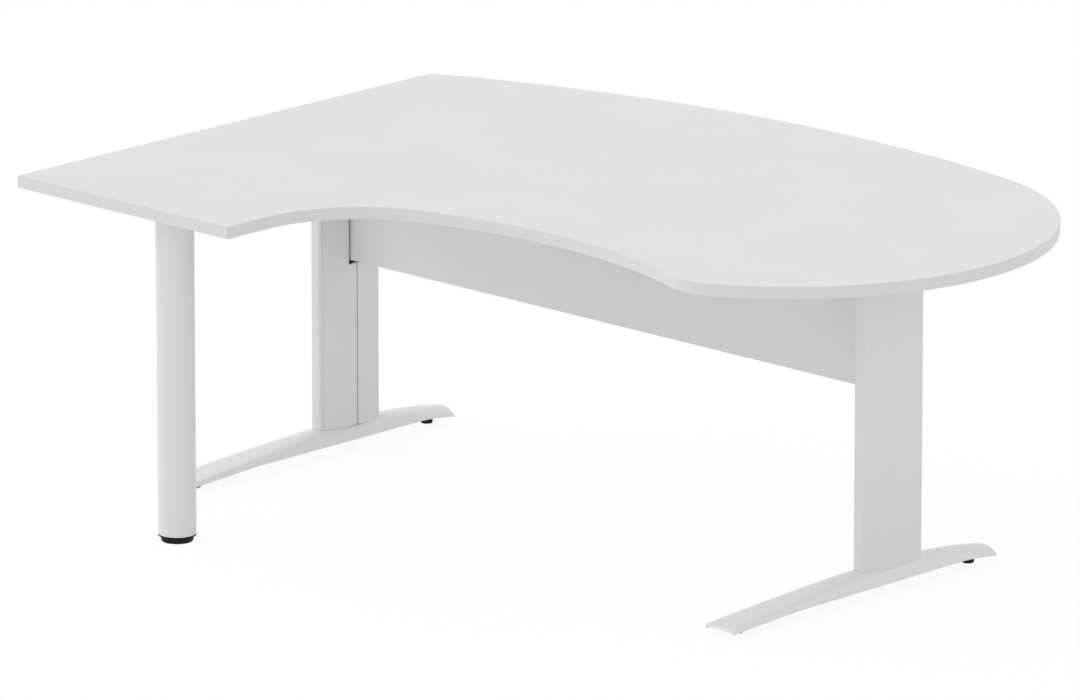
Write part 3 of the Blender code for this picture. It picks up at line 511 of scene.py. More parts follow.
def take_shape(mesh: Mesh, work: BMesh, smooth: float) -> None:
    """Give a mesh the shape that was worked on, and shade it anew.

    Args:
        mesh: The mesh.
        work: The shape, which is freed.
        smooth: The sharpest turn that is shaded smooth, in degrees.
    """
    work.to_mesh(mesh)
    work.free()
    if "custom_normal" in mesh.attributes:
        mesh.attributes.remove(mesh.attributes["custom_normal"])
    mesh.shade_smooth()
    mesh.set_sharp_from_angle(angle=math.radians(smooth))


def bridged(rows: Sequence[Sequence[int]]) -> list[tuple[int, ...]]:
    """Return the faces between rows of corners that each go once round.

    Args:
        rows: The numbers of the corners, as many in each row; a row may repeat one corner.

    Returns:
        The faces.
    """
    faces = []
    for low, high in zip(rows, rows[1:]):
        for step in range(len(low)):
            after = (step + 1) % len(low)
            faces.append(tuple(dict.fromkeys((low[step], low[after], high[after], high[step]))))
    return faces


def turned_mesh(name: str, rings: Sequence[Ring], facets: int, closed: bool = False,
                smooth: float = SMOOTH_TURN) -> Mesh:
    """Turn levels about the vertical axis.

    Args:
        name: The mesh's name.
        rings: The levels, from one end to the other; a radius of zero is the axis.
        facets: How many sides the piece has.
        closed: Whether the last level joins the first, as in a tube.
        smooth: The sharpest turn that is shaded smooth, in degrees.

    Returns:
        The mesh.
    """
    points: list[tuple[float, float, float]] = []
    rows: list[list[int]] = []
    for ring in rings:
        if ring.radius == 0.0:
            rows.append([len(points)] * facets)
            points.append((0.0, 0.0, ring.height))
            continue
        rows.append(list(range(len(points), len(points) + facets)))
        for step in range(facets):
            turn = 2 * math.pi * step / facets
            reach = ring.reach(turn)
            points.append((reach * math.cos(turn), reach * math.sin(turn), ring.height))
    return finished_mesh(name, points, bridged(rows + rows[:1] if closed else rows), smooth)


def quarter_turns() -> list[float]:
    """Return the angles, in radians, at which the corners of a broken rim lie."""
    return [math.pi / 2 * step / RIM_STEPS for step in range(RIM_STEPS + 1)]


def rounded(radius: float, low: float, high: float, edge: float,
            outline: Outline = Outline.ROUND) -> list[Ring]:
    """Return the levels of a disc with rounded rims, from its low to its high face.

    Args:
        radius: The disc's radius.
        low: The height of its low face.
        high: The height of its high face.
        edge: The radius of its rims.
        outline: The shape of its side.

    Returns:
        The levels.
    """
    rings = [Ring(radius - edge * (1 - math.sin(turn)), low + edge * (1 - math.cos(turn)), outline)
             for turn in quarter_turns()]
    return rings + [Ring(ring.radius, low + high - ring.height, outline) for ring in rings[::-1]]


def threaded(radius: float, pitch: float, low: float, high: float) -> list[Ring]:
    """Return the levels of a screw thread.

    Args:
        radius: The thread's outer radius.
        pitch: The height of one turn.
        low: Where the thread starts.
        high: Where it ends.

    Returns:
        The levels.
    """
    count = max(2, round((high - low) / pitch * THREAD_LEVELS))
    return [Ring(radius, low + (high - low) * step / count, pitch=pitch) for step in range(count + 1)]


def nut_rings(radius: float, low: float, high: float, chamfer: float) -> list[Ring]:
    """Return the levels of a hexagon nut with chamfered corners.

    Args:
        radius: Half the width across its corners.
        low: Its low face.
        high: Its high face.
        chamfer: The depth of its chamfers.

    Returns:
        The levels.
    """
    face = radius * NUT_FACE
    return [Ring(face, low), Ring(radius, low + chamfer, Outline.HEXAGON),
            Ring(radius, high - chamfer, Outline.HEXAGON), Ring(face, high)]


# Meshes from the frame's own solids


def solid_shape(node: str) -> BMesh:
    """Copy a node's solid to work on.

    Args:
        node: The frame's node.

    Returns:
        Its shape.
    """
    work = bmesh.new()
    work.from_mesh(frame["nodes"][node].data)
    return work


def middle_of(node: str) -> Vector:
    """Return the middle of a node's box."""
    low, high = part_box(node)
    return (low + high) / 2


def upright(node: str) -> Matrix:
    """Return what moves a piece from the origin onto a node's upright axis."""
    middle = middle_of(node)
    return Matrix.Translation((middle.x, middle.y, 0.0))


def softened_mesh(node: str, edge: float, segments: int = 2, grow: float = 0.0,
                  against: str = "", near: float = 0.0) -> Mesh:
    """Copy a node's shape with its sharp edges broken to a small radius.

    Args:
        node: The frame's node.
        edge: The width that is broken off each sharp edge.
        segments: How many facets round an edge.
        grow: How far the upright faces move out.
        against: The node that this one lies against, if some edges stay sharp there.
        near: How close to that node an edge has to be to stay sharp.

    Returns:
        The mesh.
    """
    work = solid_shape(node)
    bmesh.ops.remove_doubles(work, verts=work.verts, dist=COPY_JOIN)
    bmesh.ops.dissolve_limit(work, angle_limit=math.radians(FLAT_TURN), verts=work.verts, edges=work.edges)
    bmesh.ops.recalc_face_normals(work, faces=work.faces)
    if grow:
        move_sides(work, grow)
    if edge:
        bmesh.ops.bevel(work, geom=sharp_edges(work, against, near), offset=edge, segments=segments,
                        profile=0.5, affect="EDGES", clamp_overlap=True)
        bmesh.ops.dissolve_degenerate(work, dist=COPY_JOIN, edges=work.edges)
    mesh = bpy.data.meshes.new(node)
    take_shape(mesh, work, SMOOTH_TURN)
    return mesh


def move_sides(work: BMesh, way: float) -> None:
    """Move the upright faces of a shape outwards.

    Args:
        work: The shape.
        way: How far they move.
    """
    moves = {}
    for vert in work.verts:
        out = sum((face.normal for face in vert.link_faces if abs(face.normal.z) < UPRIGHT), Vector())
        if out.length > 0.0:
            moves[vert] = out.normalized() * way
    for vert, move in moves.items():
        vert.co += move


def sharp_edges(work: BMesh, against: str, near: float) -> list[BMEdge]:
    """Return the edges of a shape that get broken.

    Args:
        work: The shape.
        against: The node that it lies against, if some edges stay sharp there.
        near: How close to that node an edge has to be to stay sharp.

    Returns:
        The edges.
    """
    sharp = [edge for edge in work.edges
             if len(edge.link_faces) == 2 and edge.calc_face_angle() > math.radians(EDGE_TURN)]
    if not against:
        return sharp
    source = solid_shape(against)
    tree = BVHTree.FromBMesh(source)
    source.free()
    return [edge for edge in sharp
            if tree.find_nearest(sum((vert.co for vert in edge.verts), Vector()) / 2)[3] > near]


def placed(name: str, data: ID) -> Object:
    """Put an object in the scene.

    Args:
        name: The object's name.
        data: The mesh, lamp or camera that it shows.

    Returns:
        The object.
    """
    item = bpy.data.objects.new(name, data)
    bpy.context.scene.collection.objects.link(item)
    return item


class Workshop:
    """Puts finished pieces in the scene for the nodes that they stand for."""

    @staticmethod
    def fit(node: str, finish: Finishes, mesh: Mesh, weighted: bool = True) -> None:
        """Make a piece from a mesh, ride it on its node's body and report it.

        Args:
            node: The node that it stands for.
            finish: The finish that it takes.
            mesh: Its shape, in the frame's coordinates.
            weighted: Whether flat faces keep their own shading beside broken edges.
        """
        item = placed(f"{node}_formed", mesh)
        mesh.materials.clear()
        mesh.materials.append(finish.value.material())
        if weighted:
            item.modifiers.new("flat_faces", "WEIGHTED_NORMAL").keep_sharp = True
        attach(item, frame["nodes"][node]["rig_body"])
        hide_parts(node)
        log.info("%s: %d faces, %s", item.name, len(mesh.polygons), finish.value.slot)

    @staticmethod
    def soften(node: str, finish: Finishes, edge: float, **settings: object) -> None:
        """Fit a node's own shape with its sharp edges broken.

        Args:
            node: The node.
            finish: The finish that it takes.
            edge: The width that is broken off each sharp edge.
            settings: What else softened_mesh is told.
        """
        Workshop.fit(node, finish, softened_mesh(node, edge, **settings))

    @staticmethod
    def turn(node: str, finish: Finishes, rings: Sequence[Ring], place: Matrix, facets: int,
             weighted: bool = True, **settings: object) -> None:
        """Fit a piece that is turned about its axis.

        Args:
            node: The node.
            finish: The finish that it takes.
            rings: Its levels.
            place: What moves it from the origin to where it stands.
            facets: How many sides it has.
            weighted: Whether flat faces keep their own shading beside broken edges.
            settings: What else turned_mesh is told.
        """
        mesh = turned_mesh(node, rings, facets, **settings)
        mesh.transform(place)
        Workshop.fit(node, finish, mesh, weighted)


# Sub-assemblies


@dataclass
class DeskTop:
    """The laminated board and the strips of edging round it."""

    glue_line: float = 0.00026
    edging_radius: float = 0.0011
    edging_segments: int = 3
    glued_side: float = 0.0010

    def build(self) -> None:
        """Make the board and its edging."""
        Workshop.soften("desktop_board", Finishes.LAMINATE, edge=0.0, grow=self.glue_line)
        for name in ("curved", "left", "return"):
            Workshop.soften(f"edge_band_{name}", Finishes.EDGING, self.edging_radius,
                            segments=self.edging_segments, against="desktop_board", near=self.glued_side)


@dataclass
class CastFoot:
    """A hollow cast foot: an arched shell with a soft rim, bosses and cross ribs.

    The shell's wall thickens over the end length at toe and heel. A rib takes a share of the width
    and bites a share of the wall. The last four fields are tolerances for reading the frame's foot.
    """

    side: str
    wall: float = 0.0036
    end_wall: float = 0.0070
    end_length: float = 0.024
    lip: float = 0.0009
    lip_bend: float = 0.3
    end_round: float = 0.0016
    station_step: float = 0.008
    finer_across: int = 3
    smooth_turn: float = 60.0
    boss_radius: float = 0.009
    boss_foot: float = 0.0143
    boss_hole: float = 0.0043
    boss_edge: float = 0.0008
    boss_facets: int = 40
    head_space: float = 0.005
    rib: float = 0.0030
    rib_depth: float = 0.010
    rib_clear: float = 0.010
    rib_width: float = 0.95
    rib_bite: float = 0.6
    same_place: float = 1e-5
    place_digits: int = 5
    width_slack: float = 1e-4
    straight: float = 1e-12

    def outer_lines(self) -> np.ndarray:
        """Read the outer line of each station from the frame's foot.

        Returns:
            An array of stations, points and coordinates.
        """
        points = np.array([vert.co for vert in frame["nodes"][f"foot_{self.side}"].data.vertices])
        width = np.ptp(points[:, 0])
        lines: dict[int, list[np.ndarray]] = {}
        for place in sorted(set(np.round(points[:, 1], self.place_digits))):
            here = points[np.abs(points[:, 1] - place) < self.same_place]
            if np.ptp(here[:, 0]) < width - self.width_slack:
                continue
            chain: list[np.ndarray] = []
            for point in here[np.lexsort((here[:, 2], here[:, 0]))]:
                while len(chain) > 1 and self.turns_up(chain[-2], chain[-1], point):
                    chain.pop()
                chain.append(point)
            lines.setdefault(len(chain), []).append(np.array(chain))
        return np.array(max(lines.values(), key=len))

    def turns_up(self, first: np.ndarray, second: np.ndarray, third: np.ndarray) -> bool:
        """Say whether three points of a section, from left to right, don't bend downwards."""
        one, two = second - first, third - first
        return one[0] * two[2] - one[2] * two[0] >= -self.straight

    @staticmethod
    def refined(rows: np.ndarray, given: np.ndarray, wanted: np.ndarray) -> np.ndarray:
        """Read smooth rows between given rows.

        Args:
            rows: An array whose first direction is refined.
            given: Where each row stands.
            wanted: Where the new rows stand.

        Returns:
            The new rows.
        """
        slopes = np.gradient(rows, given, axis=0)
        index = np.clip(np.searchsorted(given, wanted, side="right") - 1, 0, len(given) - 2)
        span = (given[index + 1] - given[index]).reshape((-1,) + (1,) * (rows.ndim - 1))
        part = (wanted - given[index]).reshape(span.shape) / span
        rest = 1 - part
        values = rows[index] * (1 + 2 * part) * rest ** 2 + rows[index + 1] * (1 + 2 * rest) * part ** 2
        bends = slopes[index] * part * rest ** 2 - slopes[index + 1] * part ** 2 * rest
        return values + bends * span

    def surface(self) -> np.ndarray:
        """Refine the outer lines in both directions.

        Returns:
            The outer surface in fine, smooth rows from toe to heel.
        """
        lines = self.outer_lines()
        given = lines[:, 0, 1]
        wanted = np.linspace(given[0], given[-1], round((given[-1] - given[0]) / self.station_step))
        rows = self.refined(lines, given, wanted).transpose(1, 0, 2)
        count = np.arange(len(rows), dtype=float)
        across = np.linspace(0, count[-1], self.finer_across * (len(rows) - 1) + 1)
        return self.refined(rows, count, across).transpose(1, 0, 2)

    @staticmethod
    def inside(line: np.ndarray, aside: float, below: float) -> np.ndarray:
        """Draw a section's line in towards the middle of its foot.

        Args:
            line: The line, from one lower edge over the crown to the other.
            aside: How far its sides move in.
            below: How far its crown moves down.

        Returns:
            The drawn-in line.
        """
        low, centre = line[0, 2], (line[0, 0] + line[-1, 0]) / 2
        half, height = abs(line[0, 0] - centre), line[:, 2].max() - low
        drawn = line.copy()
        drawn[:, 0] = centre + (line[:, 0] - centre) * (half - aside) / half
        drawn[:, 2] = low + (line[:, 2] - low) * (height - below) / height
        return drawn

    def section(self, line: np.ndarray, drop: float, inset: float = 0.0, shift: float = 0.0) -> np.ndarray:
        """Return one closed section with a soft lower rim.

        Args:
            line: The outer line.
            drop: How thick the shell is at its crown.
            inset: How far the outer line is drawn in.
            shift: How far the section moves along the foot.

        Returns:
            The outer line, then the inner line reversed.
        """
        outer, inner = self.inside(line, inset, inset), self.inside(line, self.wall, drop)
        rims = []
        for end in (0, -1):
            inward = math.copysign(self.lip, inner[end, 0] - outer[end, 0])
            corner = outer[end].copy()
            outer[end, 2] += self.lip
            rims.append([corner + (inward, 0.0, 0.0),
                         corner + (inward * self.lip_bend, 0.0, self.lip * self.lip_bend)])
        ring = np.concatenate([rims[0], outer, rims[1][::-1],
                               np.repeat(inner[-1:], 2, 0), inner[::-1], np.repeat(inner[:1], 2, 0)])
        ring[:, 1] += shift
        return ring

    def sections(self, fine: np.ndarray) -> list[np.ndarray]:
        """Return the shell's sections, thicker and rounded at both ends.

        Args:
            fine: The outer surface.

        Returns:
            The sections, from toe to heel.
        """
        places = fine[:, 0, 1]
        rings = []
        for line, place in zip(fine[1:-1], places[1:-1]):
            to_end = min(place - places[0], places[-1] - place)
            thicker = max(0.0, 1.0 - to_end / self.end_length)
            rings.append(self.section(line, self.wall + (self.end_wall - self.wall) * thicker ** 2))
        toe, heel = ([self.section(fine[end], self.end_wall, self.end_round * (1 - math.sin(turn)),
                                   way * self.end_round * (1 - math.cos(turn)))
                      for turn in quarter_turns()] for end, way in ((0, 1.0), (-1, -1.0)))
        return toe + rings + heel[::-1]

    def build(self) -> None:
        """Make the shell with its bosses and ribs as one casting."""
        fine = self.surface()
        rings = self.sections(fine)
        count = len(rings[0])
        rows = [range(row * count, (row + 1) * count) for row in range(len(rings))]
        faces = bridged(rows)
        for row in (rows[0], rows[-1]):
            for step in range(count // 2 - 1):
                far = count - 1 - step
                faces.append((row[step], row[step + 1], row[far - 1], row[far]))
        shell = finished_mesh("casting", [point for ring in rings for point in ring], faces, self.smooth_turn)
        work = bmesh.new()
        work.from_mesh(shell)
        self.add_bosses(work, fine)
        self.add_ribs(work, fine)
        take_shape(shell, work, self.smooth_turn)
        Workshop.fit(f"foot_{self.side}", Finishes.CAST_COAT, shell, weighted=False)

    def add_bosses(self, work: BMesh, fine: np.ndarray) -> None:
        """Add the bosses of levellers and bolts.

        Args:
            work: The casting.
            fine: The outer surface, for heights.
        """
        crest = fine[:, fine.shape[1] // 2]
        for kind in ("leveller_stud", "base_bolt"):
            for end in ENDS:
                node = f"{kind}_{end}_{self.side}"
                high = float(np.interp(middle_of(node).y, crest[:, 1], crest[:, 2])) - self.wall / 2
                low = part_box(node)[0].z + self.head_space if kind == "base_bolt" else self.boss_foot
                rings = rounded(self.boss_radius, low, high, self.boss_edge)
                rings += [Ring(self.boss_hole, high), Ring(self.boss_hole, low)]
                boss = turned_mesh("boss", rings, self.boss_facets, closed=True)
                boss.transform(upright(node))
                work.from_mesh(boss)
                bpy.data.meshes.remove(boss)

    def add_ribs(self, work: BMesh, fine: np.ndarray) -> None:
        """Add the cross ribs in front of, behind and under the column.

        Args:
            work: The casting.
            fine: The outer surface.
        """
        crest = fine[:, fine.shape[1] // 2]
        low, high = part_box(f"column_{self.side}")
        for place in (low.y - self.rib_clear, high.y + self.rib_clear, middle_of(f"column_{self.side}").y):
            self.add_rib(work, fine[int(np.argmin(np.abs(crest[:, 1] - place)))], float(crest[0, 0]))

    def add_rib(self, work: BMesh, line: np.ndarray, centre: float) -> None:
        """Add one cross rib under the crown.

        Args:
            work: The casting.
            line: The outer line where the rib stands.
            centre: The middle of the foot's width.
        """
        low = line[0, 2] + self.rib_depth
        crown = [(centre + (x - centre) * self.rib_width, z - self.wall * self.rib_bite)
                 for x, z in line[:, [0, 2]]]
        outline = [(x, z) for x, z in crown if z > low + self.same_place]
        outline += [(outline[-1][0], low), (outline[0][0], low)]
        front, back = ([work.verts.new((x, line[0, 1] + way * self.rib / 2, z)) for x, z in outline]
                       for way in (-1, 1))
        work.faces.new(front)
        work.faces.new(back[::-1])
        for index in range(len(outline)):
            after = (index + 1) % len(outline)
            work.faces.new((front[index], front[after], back[after], back[index]))


@dataclass
class LegFrame:
    """One leg frame: foot, column, cover, arm, plates and levellers."""

    side: str
    sheet_edge: float = 0.0005
    plate_edge: float = 0.0006
    clip_edge: float = 0.0005

    def build(self) -> None:
        """Make the frame's pieces from its foot up."""
        side = self.side
        CastFoot(side).build()
        for node in (f"column_{side}", f"cable_cover_{side}"):
            Workshop.soften(node, Finishes.POWDER_COAT, self.sheet_edge)
        for node in (f"arm_{side}", f"base_plate_{side}", f"panel_plate_{side}"):
            Workshop.soften(node, Finishes.POWDER_COAT, self.plate_edge)
        for level in LEVELS:
            Workshop.soften(f"cover_clip_{level}_{side}", Finishes.GREY_PLASTIC, self.clip_edge)
        Workshop.soften(f"panel_nut_plate_{side}", Finishes.ZINC, self.plate_edge)
        for end in ENDS:
            Leveller(side, end).build()


@dataclass
class Leveller:
    """A ribbed plastic pad on a threaded stud with a lock nut.

    Sole and groove are shares of the pad's radius. The collar round the stud's socket has a width
    at its top and one at its foot.
    """

    side: str
    end: str
    pad_edge: float = 0.0016
    sole: float = 0.55
    groove: Pair = (0.66, 0.72)
    groove_depth: float = 0.0006
    collar: Pair = (0.0010, 0.0016)
    seat: float = 0.0040
    stud_radius: float = 0.0040
    pitch: float = 0.00125
    gap: float = 0.0003
    nut_radius: float = 0.0065
    nut_high: float = 0.0140
    nut_chamfer: float = 0.0006
    facets: int = 96

    def build(self) -> None:
        """Make the pad, and the stud with its nut."""
        pad, stud = (f"leveller_{kind}_{self.end}_{self.side}" for kind in ("pad", "stud"))
        place = upright(pad)
        Workshop.turn(pad, Finishes.BLACK_PLASTIC, self.pad_rings(*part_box(pad)), place, self.facets)
        low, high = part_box(stud)
        nut_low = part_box(pad)[1].z + self.gap
        rings = [Ring(0.0, low.z)] + threaded(self.stud_radius, self.pitch, low.z, nut_low)
        rings += nut_rings(self.nut_radius, nut_low, self.nut_high, self.nut_chamfer)
        rings += threaded(self.stud_radius, self.pitch, self.nut_high, high.z)
        Workshop.turn(stud, Finishes.ZINC, rings + [Ring(0.0, high.z)], place, STUD_FACETS,
                      weighted=False, smooth=THREAD_TURN)

    def pad_rings(self, low: Vector, high: Vector) -> list[Ring]:
        """Return the levels of the pad, from its sole over its rim to the stud's seat.

        Args:
            low: The low corner of the pad's box.
            high: The high corner of the pad's box.

        Returns:
            The levels.
        """
        radius = (high.x - low.x) / 2
        socket = self.stud_radius + self.gap
        inner, outer = self.groove
        floor = high.z - self.groove_depth
        rings = [Ring(0.0, low.z), Ring(radius * self.sole, low.z)]
        rings += rounded(radius, low.z, high.z, self.pad_edge, Outline.RIBBED)
        rings += [Ring(radius * outer, high.z), Ring(radius * inner, floor)]
        rings += [Ring(socket + self.collar[1], floor), Ring(socket + self.collar[0], high.z)]
        return rings + [Ring(socket, high.z), Ring(socket, self.seat), Ring(0.0, self.seat)]


@dataclass
class ModestyPanel:
    """The folded front tray and the flat back skin."""

    fold: float = 0.0007

    def build(self) -> None:
        """Make both sheets."""
        for node in ("modesty_panel_front", "modesty_panel_back"):
            Workshop.soften(node, Finishes.POWDER_COAT, self.fold)


@dataclass
class PoleLeg:
    """The round leg with its welded plate, cap and adjustable glide.

    The weld's hollow is given in shares of the weld, and the dimple in shares of the glide's radius.
    """

    wall: float = 0.002
    rim: float = 0.0005
    weld: float = 0.0028
    weld_hollow: Pair = (0.32, 0.42)
    plate_edge: float = 0.0008
    cap_lip_edge: float = 0.0010
    plug_chamfer: float = 0.001
    collar: float = 0.006
    glide_edge: float = 0.0028
    glide_chamfer: float = 0.0008
    dimple: Pair = (0.30, 0.34)
    dimple_depth: float = 0.0012
    stud_radius: float = 0.005
    pitch: float = 0.0015
    gap: float = 0.0003
    facets: int = 128

    def build(self) -> None:
        """Make the pole's pieces from the top down."""
        place = upright("pole_tube")
        low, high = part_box("pole_tube")
        outer = (high.x - low.x) / 2
        Workshop.soften("pole_top_plate", Finishes.POWDER_COAT, self.plate_edge)
        Workshop.turn("pole_tube", Finishes.POWDER_COAT, self.tube_rings(outer, low.z, high.z), place,
                      self.facets, closed=True)
        Workshop.turn("pole_cap", Finishes.BLACK_PLASTIC, self.cap_rings(outer, low.z - self.gap), place,
                      self.facets, closed=True)
        Workshop.turn("pole_glide", Finishes.BLACK_PLASTIC, self.glide_rings(), place, self.facets)
        low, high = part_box("pole_glide_stud")
        rings = [Ring(0.0, low.z)] + threaded(self.stud_radius, self.pitch, low.z, high.z)
        Workshop.turn("pole_glide_stud", Finishes.ZINC, rings + [Ring(0.0, high.z)], place, STUD_FACETS,
                      smooth=THREAD_TURN)

    def tube_rings(self, outer: float, low: float, high: float) -> list[Ring]:
        """Return the levels of the tube, with the bead of weld at its top.

        Args:
            outer: The tube's radius.
            low: Its low end.
            high: Its high end.

        Returns:
            The levels, up its outer side and down its bore.
        """
        bore = outer - self.wall
        aside, below = self.weld_hollow
        rings = [Ring(bore + self.rim, low), Ring(outer - self.rim, low), Ring(outer, low + self.rim)]
        rings += [Ring(outer, high - self.weld), Ring(outer + self.weld * aside, high - self.weld * below)]
        return rings + [Ring(outer + self.weld, high), Ring(bore, high), Ring(bore, low + self.rim)]

    def cap_rings(self, outer: float, lip: float) -> list[Ring]:
        """Return the levels of the cap, which plugs the tube and guides the stud.

        Args:
            outer: The pole's radius.
            lip: The upper side of the cap's lip.

        Returns:
            The levels, over the lip and the plug to the stud's hole.
        """
        low, high = (corner.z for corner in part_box("pole_cap"))
        plug = outer - self.wall - self.gap
        hole = self.stud_radius + self.gap
        rings = [Ring(hole, low)] + rounded(outer, low, lip, self.cap_lip_edge)
        rings += [Ring(plug, lip), Ring(plug, high - self.plug_chamfer), Ring(plug - self.plug_chamfer, high)]
        rings += [Ring(plug - self.wall, high), Ring(plug - self.wall, lip)]
        return rings + [Ring(hole + self.collar, lip), Ring(hole + self.collar, high), Ring(hole, high)]

    def glide_rings(self) -> list[Ring]:
        """Return the levels of the glide, from its dimpled sole to the stud's seat.

        Returns:
            The levels.
        """
        low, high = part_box("pole_glide")
        radius = (high.x - low.x) / 2
        floor, edge = (radius * share for share in self.dimple)
        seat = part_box("pole_glide_stud")[0].z - self.gap
        hole = self.stud_radius + self.gap
        rings = [Ring(0.0, low.z + self.dimple_depth), Ring(floor, low.z + self.dimple_depth)]
        rings += [Ring(edge, low.z)] + rounded(radius, low.z, high.z, self.glide_edge)[:RIM_STEPS + 1]
        rings += [Ring(radius, high.z - self.glide_chamfer), Ring(radius - self.glide_chamfer, high.z)]
        return rings + [Ring(hole, high.z), Ring(hole, seat), Ring(0.0, seat)]


@dataclass(frozen=True)
class FastenerSize:
    """The sizes of one kind of screw or bolt; its recess reaches to a share of the head's radius."""

    head_radius: float
    head_height: float
    shank_radius: float
    pitch: float
    recess: Outline
    recess_reach: float
    domed: bool


class FastenerKind(Enum):
    """The kinds of screw and bolt that hold the desk together."""

    WOOD_SCREW = FastenerSize(head_radius=0.0050, head_height=0.003, shank_radius=0.00225, pitch=0.0018,
                              recess=Outline.CROSS, recess_reach=0.52, domed=True)
    COLUMN_BOLT = FastenerSize(head_radius=0.0070, head_height=0.005, shank_radius=0.0040, pitch=0.00125,
                               recess=Outline.HEXAGON, recess_reach=0.48, domed=False)
    PANEL_BOLT = FastenerSize(head_radius=0.0055, head_height=0.0035, shank_radius=0.0030, pitch=0.0010,
                              recess=Outline.HEXAGON, recess_reach=0.48, domed=True)


@dataclass
class Fastener:
    """A screw or bolt on the node's own axis, its head below, or in front where it lies.

    The recess and the two profiles, as radius and height, are given in shares of the head, and the
    point's radius in shares of the shank.
    """

    node: str
    kind: FastenerKind
    lies: bool = False
    recess_depth: float = 0.45
    recess_floor: float = 0.8
    head_face: float = 0.66
    dome: tuple[Pair, ...] = ((0.88, 0.80), (0.98, 0.45), (1.0, 0.12), (1.0, 0.0))
    chamfer: tuple[Pair, ...] = ((0.94, 1.0), (1.0, 0.88), (1.0, 0.0))
    neck: float = 0.0005
    point: float = 0.0010
    point_radius: float = 0.55

    def build(self) -> None:
        """Make the fastener along the node's axis."""
        size = self.kind.value
        low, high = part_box(self.node)
        spot = middle_of(self.node)
        if self.lies:
            spot.y = low.y + size.head_height
            tip = high.y - spot.y
            place = Matrix.Translation(spot) @ Matrix.Rotation(-math.pi / 2, 4, "X")
        else:
            spot.z = low.z + size.head_height
            tip = high.z - spot.z
            place = Matrix.Translation(spot)
        rings = self.head_rings(size) + threaded(size.shank_radius, size.pitch, self.neck, tip - self.point)
        rings += [Ring(size.shank_radius * self.point_radius, tip), Ring(0.0, tip)]
        Workshop.turn(self.node, Finishes.ZINC, rings, place, STUD_FACETS, weighted=False,
                      smooth=THREAD_TURN)

    def head_rings(self, size: FastenerSize) -> list[Ring]:
        """Return the levels of the head, from the middle of its recess to its seat.

        Args:
            size: The fastener's sizes.

        Returns:
            The levels, with the seat at a height of zero.
        """
        radius, height = size.head_radius, size.head_height
        reach, deep = radius * size.recess_reach, -height * self.recess_depth
        rings = [Ring(0.0, deep), Ring(reach * self.recess_floor, deep, size.recess)]
        rings += [Ring(reach, -height, size.recess), Ring(radius * self.head_face, -height)]
        profile = self.dome if size.domed else self.chamfer
        rings += [Ring(radius * aside, -height * below) for aside, below in profile]
        return rings + [Ring(size.shank_radius, 0.0)]


@dataclass
class Fixings:
    """Every screw and bolt of the desk."""

    screws_in_a_plate: int = 4

    def build(self) -> None:
        """Make the wood screws, the column bolts and the panel bolts."""
        numbers = range(1, self.screws_in_a_plate + 1)
        for side in SIDES:
            for number in numbers:
                Fastener(f"arm_screw_{number}_{side}", FastenerKind.WOOD_SCREW).build()
            for end in ENDS:
                Fastener(f"base_bolt_{end}_{side}", FastenerKind.COLUMN_BOLT).build()
            for level in LEVELS:
                Fastener(f"panel_bolt_{level}_{side}", FastenerKind.PANEL_BOLT, lies=True).build()
        for number in numbers:
            Fastener(f"pole_screw_{number}", FastenerKind.WOOD_SCREW).build()


# Stage


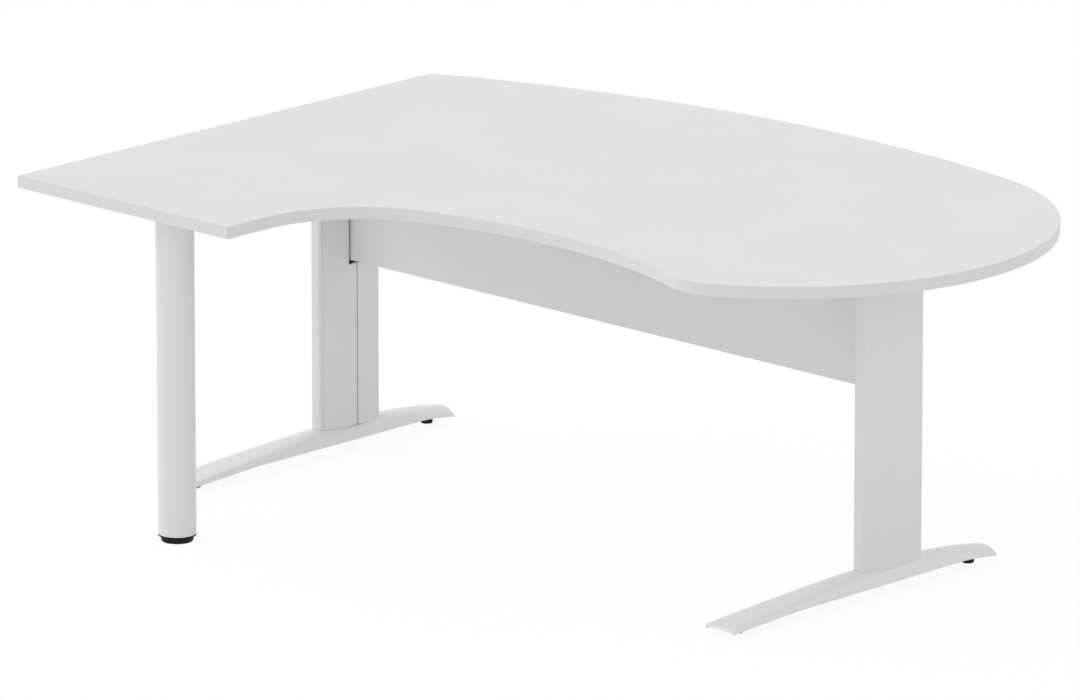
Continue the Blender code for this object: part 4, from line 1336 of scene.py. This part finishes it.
@dataclass
class Studio:
    """A pale floor, soft plain light and the camera of the photograph."""

    floor_half: float = 40.0
    floor_gap: float = 0.0002
    floor_colour: Colour = (0.90, 0.90, 0.90)
    floor_shade: float = 0.12
    floor_lift: float = 0.20
    sky: float = 0.72
    horizon: float = 0.49
    horizon_falloff: float = 3.0
    key_strength: float = 0.80
    key_spread: float = 60.0
    key_azimuth: float = 290.0
    key_elevation: float = 32.0
    azimuth: float = 43.680752
    elevation: float = 15.181247
    distance: float = 24.8400854
    lens: float = 393.71860
    far: float = 200.0
    aim: tuple[float, float, float] = (-0.802654, 0.673890, 0.127115)

    def build(self) -> None:
        """Set up the view, the floor, the light and the camera."""
        bpy.context.scene.view_settings.view_transform = "Standard"
        self.build_floor()
        self.build_sky()
        self.build_key()
        self.build_camera()

    @staticmethod
    def split(sheet: NodeSheet, light: Node, seen: Node) -> NodeSocket:
        """Show one shader to the camera, a mirror or glass, and another to all other rays.

        Args:
            sheet: Where the nodes go.
            light: The shader that lights the room.
            seen: The shader that the camera, a mirror or glass shows.

        Returns:
            The shader that is one or the other.
        """
        path = sheet.add("ShaderNodeLightPath").outputs
        direct = sheet.math("MAXIMUM", path["Is Camera Ray"], path["Is Glossy Ray"])
        share = sheet.math("MAXIMUM", direct, path["Is Transmission Ray"])
        shaders = {0: share, 1: light.outputs[0], 2: seen.outputs[0]}
        return sheet.add("ShaderNodeMixShader", shaders).outputs[0]

    def build_floor(self) -> None:
        """Make a wide floor that looks white and keeps a faint shadow."""
        half = self.floor_half
        mesh = bpy.data.meshes.new("floor")
        mesh.from_pydata([(-half, -half, 0.0), (half, -half, 0.0), (half, half, 0.0), (-half, half, 0.0)],
                         [], [(0, 1, 2, 3)])
        floor = placed("floor", mesh)
        floor.location.z = -self.floor_gap
        made = bpy.data.materials.new("studio_floor")
        made.use_nodes = True
        made.node_tree.nodes.clear()
        sheet = NodeSheet(made.node_tree)
        real = sheet.add("ShaderNodeBsdfDiffuse", {"Color": (*self.floor_colour, 1.0)})
        shade = sheet.add("ShaderNodeBsdfDiffuse", {"Color": WHITE})
        lift = sheet.add("ShaderNodeEmission", {"Strength": self.floor_lift})
        lifted = sheet.add("ShaderNodeAddShader", {0: shade.outputs[0], 1: lift.outputs[0]})
        clear = sheet.add("ShaderNodeBsdfTransparent")
        white = sheet.add("ShaderNodeMixShader", {0: self.floor_shade, 1: clear.outputs[0],
                                                  2: lifted.outputs[0]})
        sheet.add("ShaderNodeOutputMaterial", {"Surface": self.split(sheet, real, white)})
        mesh.materials.append(made)

    def build_sky(self) -> None:
        """Light the room, a little more from low down, and show white behind it."""
        world = bpy.data.worlds.new("studio")
        world.use_nodes = True
        world.node_tree.nodes.clear()
        sheet = NodeSheet(world.node_tree)
        toward = sheet.add("ShaderNodeTexCoord").outputs["Generated"]
        height = sheet.add("ShaderNodeSeparateXYZ", {0: toward}).outputs["Z"]
        low = sheet.math("POWER", sheet.spread(height, 0.0, 1.0, start=1.0, end=0.0), self.horizon_falloff)
        level = sheet.math("MULTIPLY_ADD", low, self.horizon, self.sky)
        even = sheet.add("ShaderNodeBackground", {"Color": WHITE, "Strength": level})
        white = sheet.add("ShaderNodeBackground", {"Color": WHITE, "Strength": 1.0})
        sheet.add("ShaderNodeOutputWorld", {"Surface": self.split(sheet, even, white)})
        bpy.context.scene.world = world

    def build_key(self) -> None:
        """Add a wide soft lamp from the upper left of the camera."""
        lamp = bpy.data.lights.new("key", "SUN")
        lamp.energy = self.key_strength
        lamp.angle = math.radians(self.key_spread)
        toward = direction(self.key_azimuth, self.key_elevation)
        placed("key", lamp).rotation_euler = toward.to_track_quat("Z", "Y").to_euler()

    def build_camera(self) -> None:
        """Put the camera where the photograph was taken from."""
        back = direction(self.azimuth, self.elevation)
        lens = bpy.data.cameras.new("camera")
        lens.lens = self.lens
        lens.clip_end = self.far
        camera = placed("camera", lens)
        camera.location = Vector(self.aim) + back * self.distance
        camera.rotation_euler = back.to_track_quat("Z", "Y").to_euler()
        bpy.context.scene.camera = camera


def direction(azimuth: float, elevation: float) -> Vector:
    """Return the way from the desk towards a viewer.

    Args:
        azimuth: Degrees round from the front towards the right end.
        elevation: Degrees above the horizon.

    Returns:
        A unit vector.
    """
    around, above = math.radians(azimuth), math.radians(elevation)
    return Vector((math.sin(around) * math.cos(above), -math.cos(around) * math.cos(above), math.sin(above)))


def main() -> None:
    """Build the stage and every piece."""
    logging.basicConfig(level=logging.INFO, format="%(name)s: %(message)s")
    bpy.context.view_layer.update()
    Studio().build()
    for assembly in (DeskTop(), LegFrame("left"), LegFrame("right"), ModestyPanel(), PoleLeg(), Fixings()):
        assembly.build()


if __name__ == "__main__":
    main()
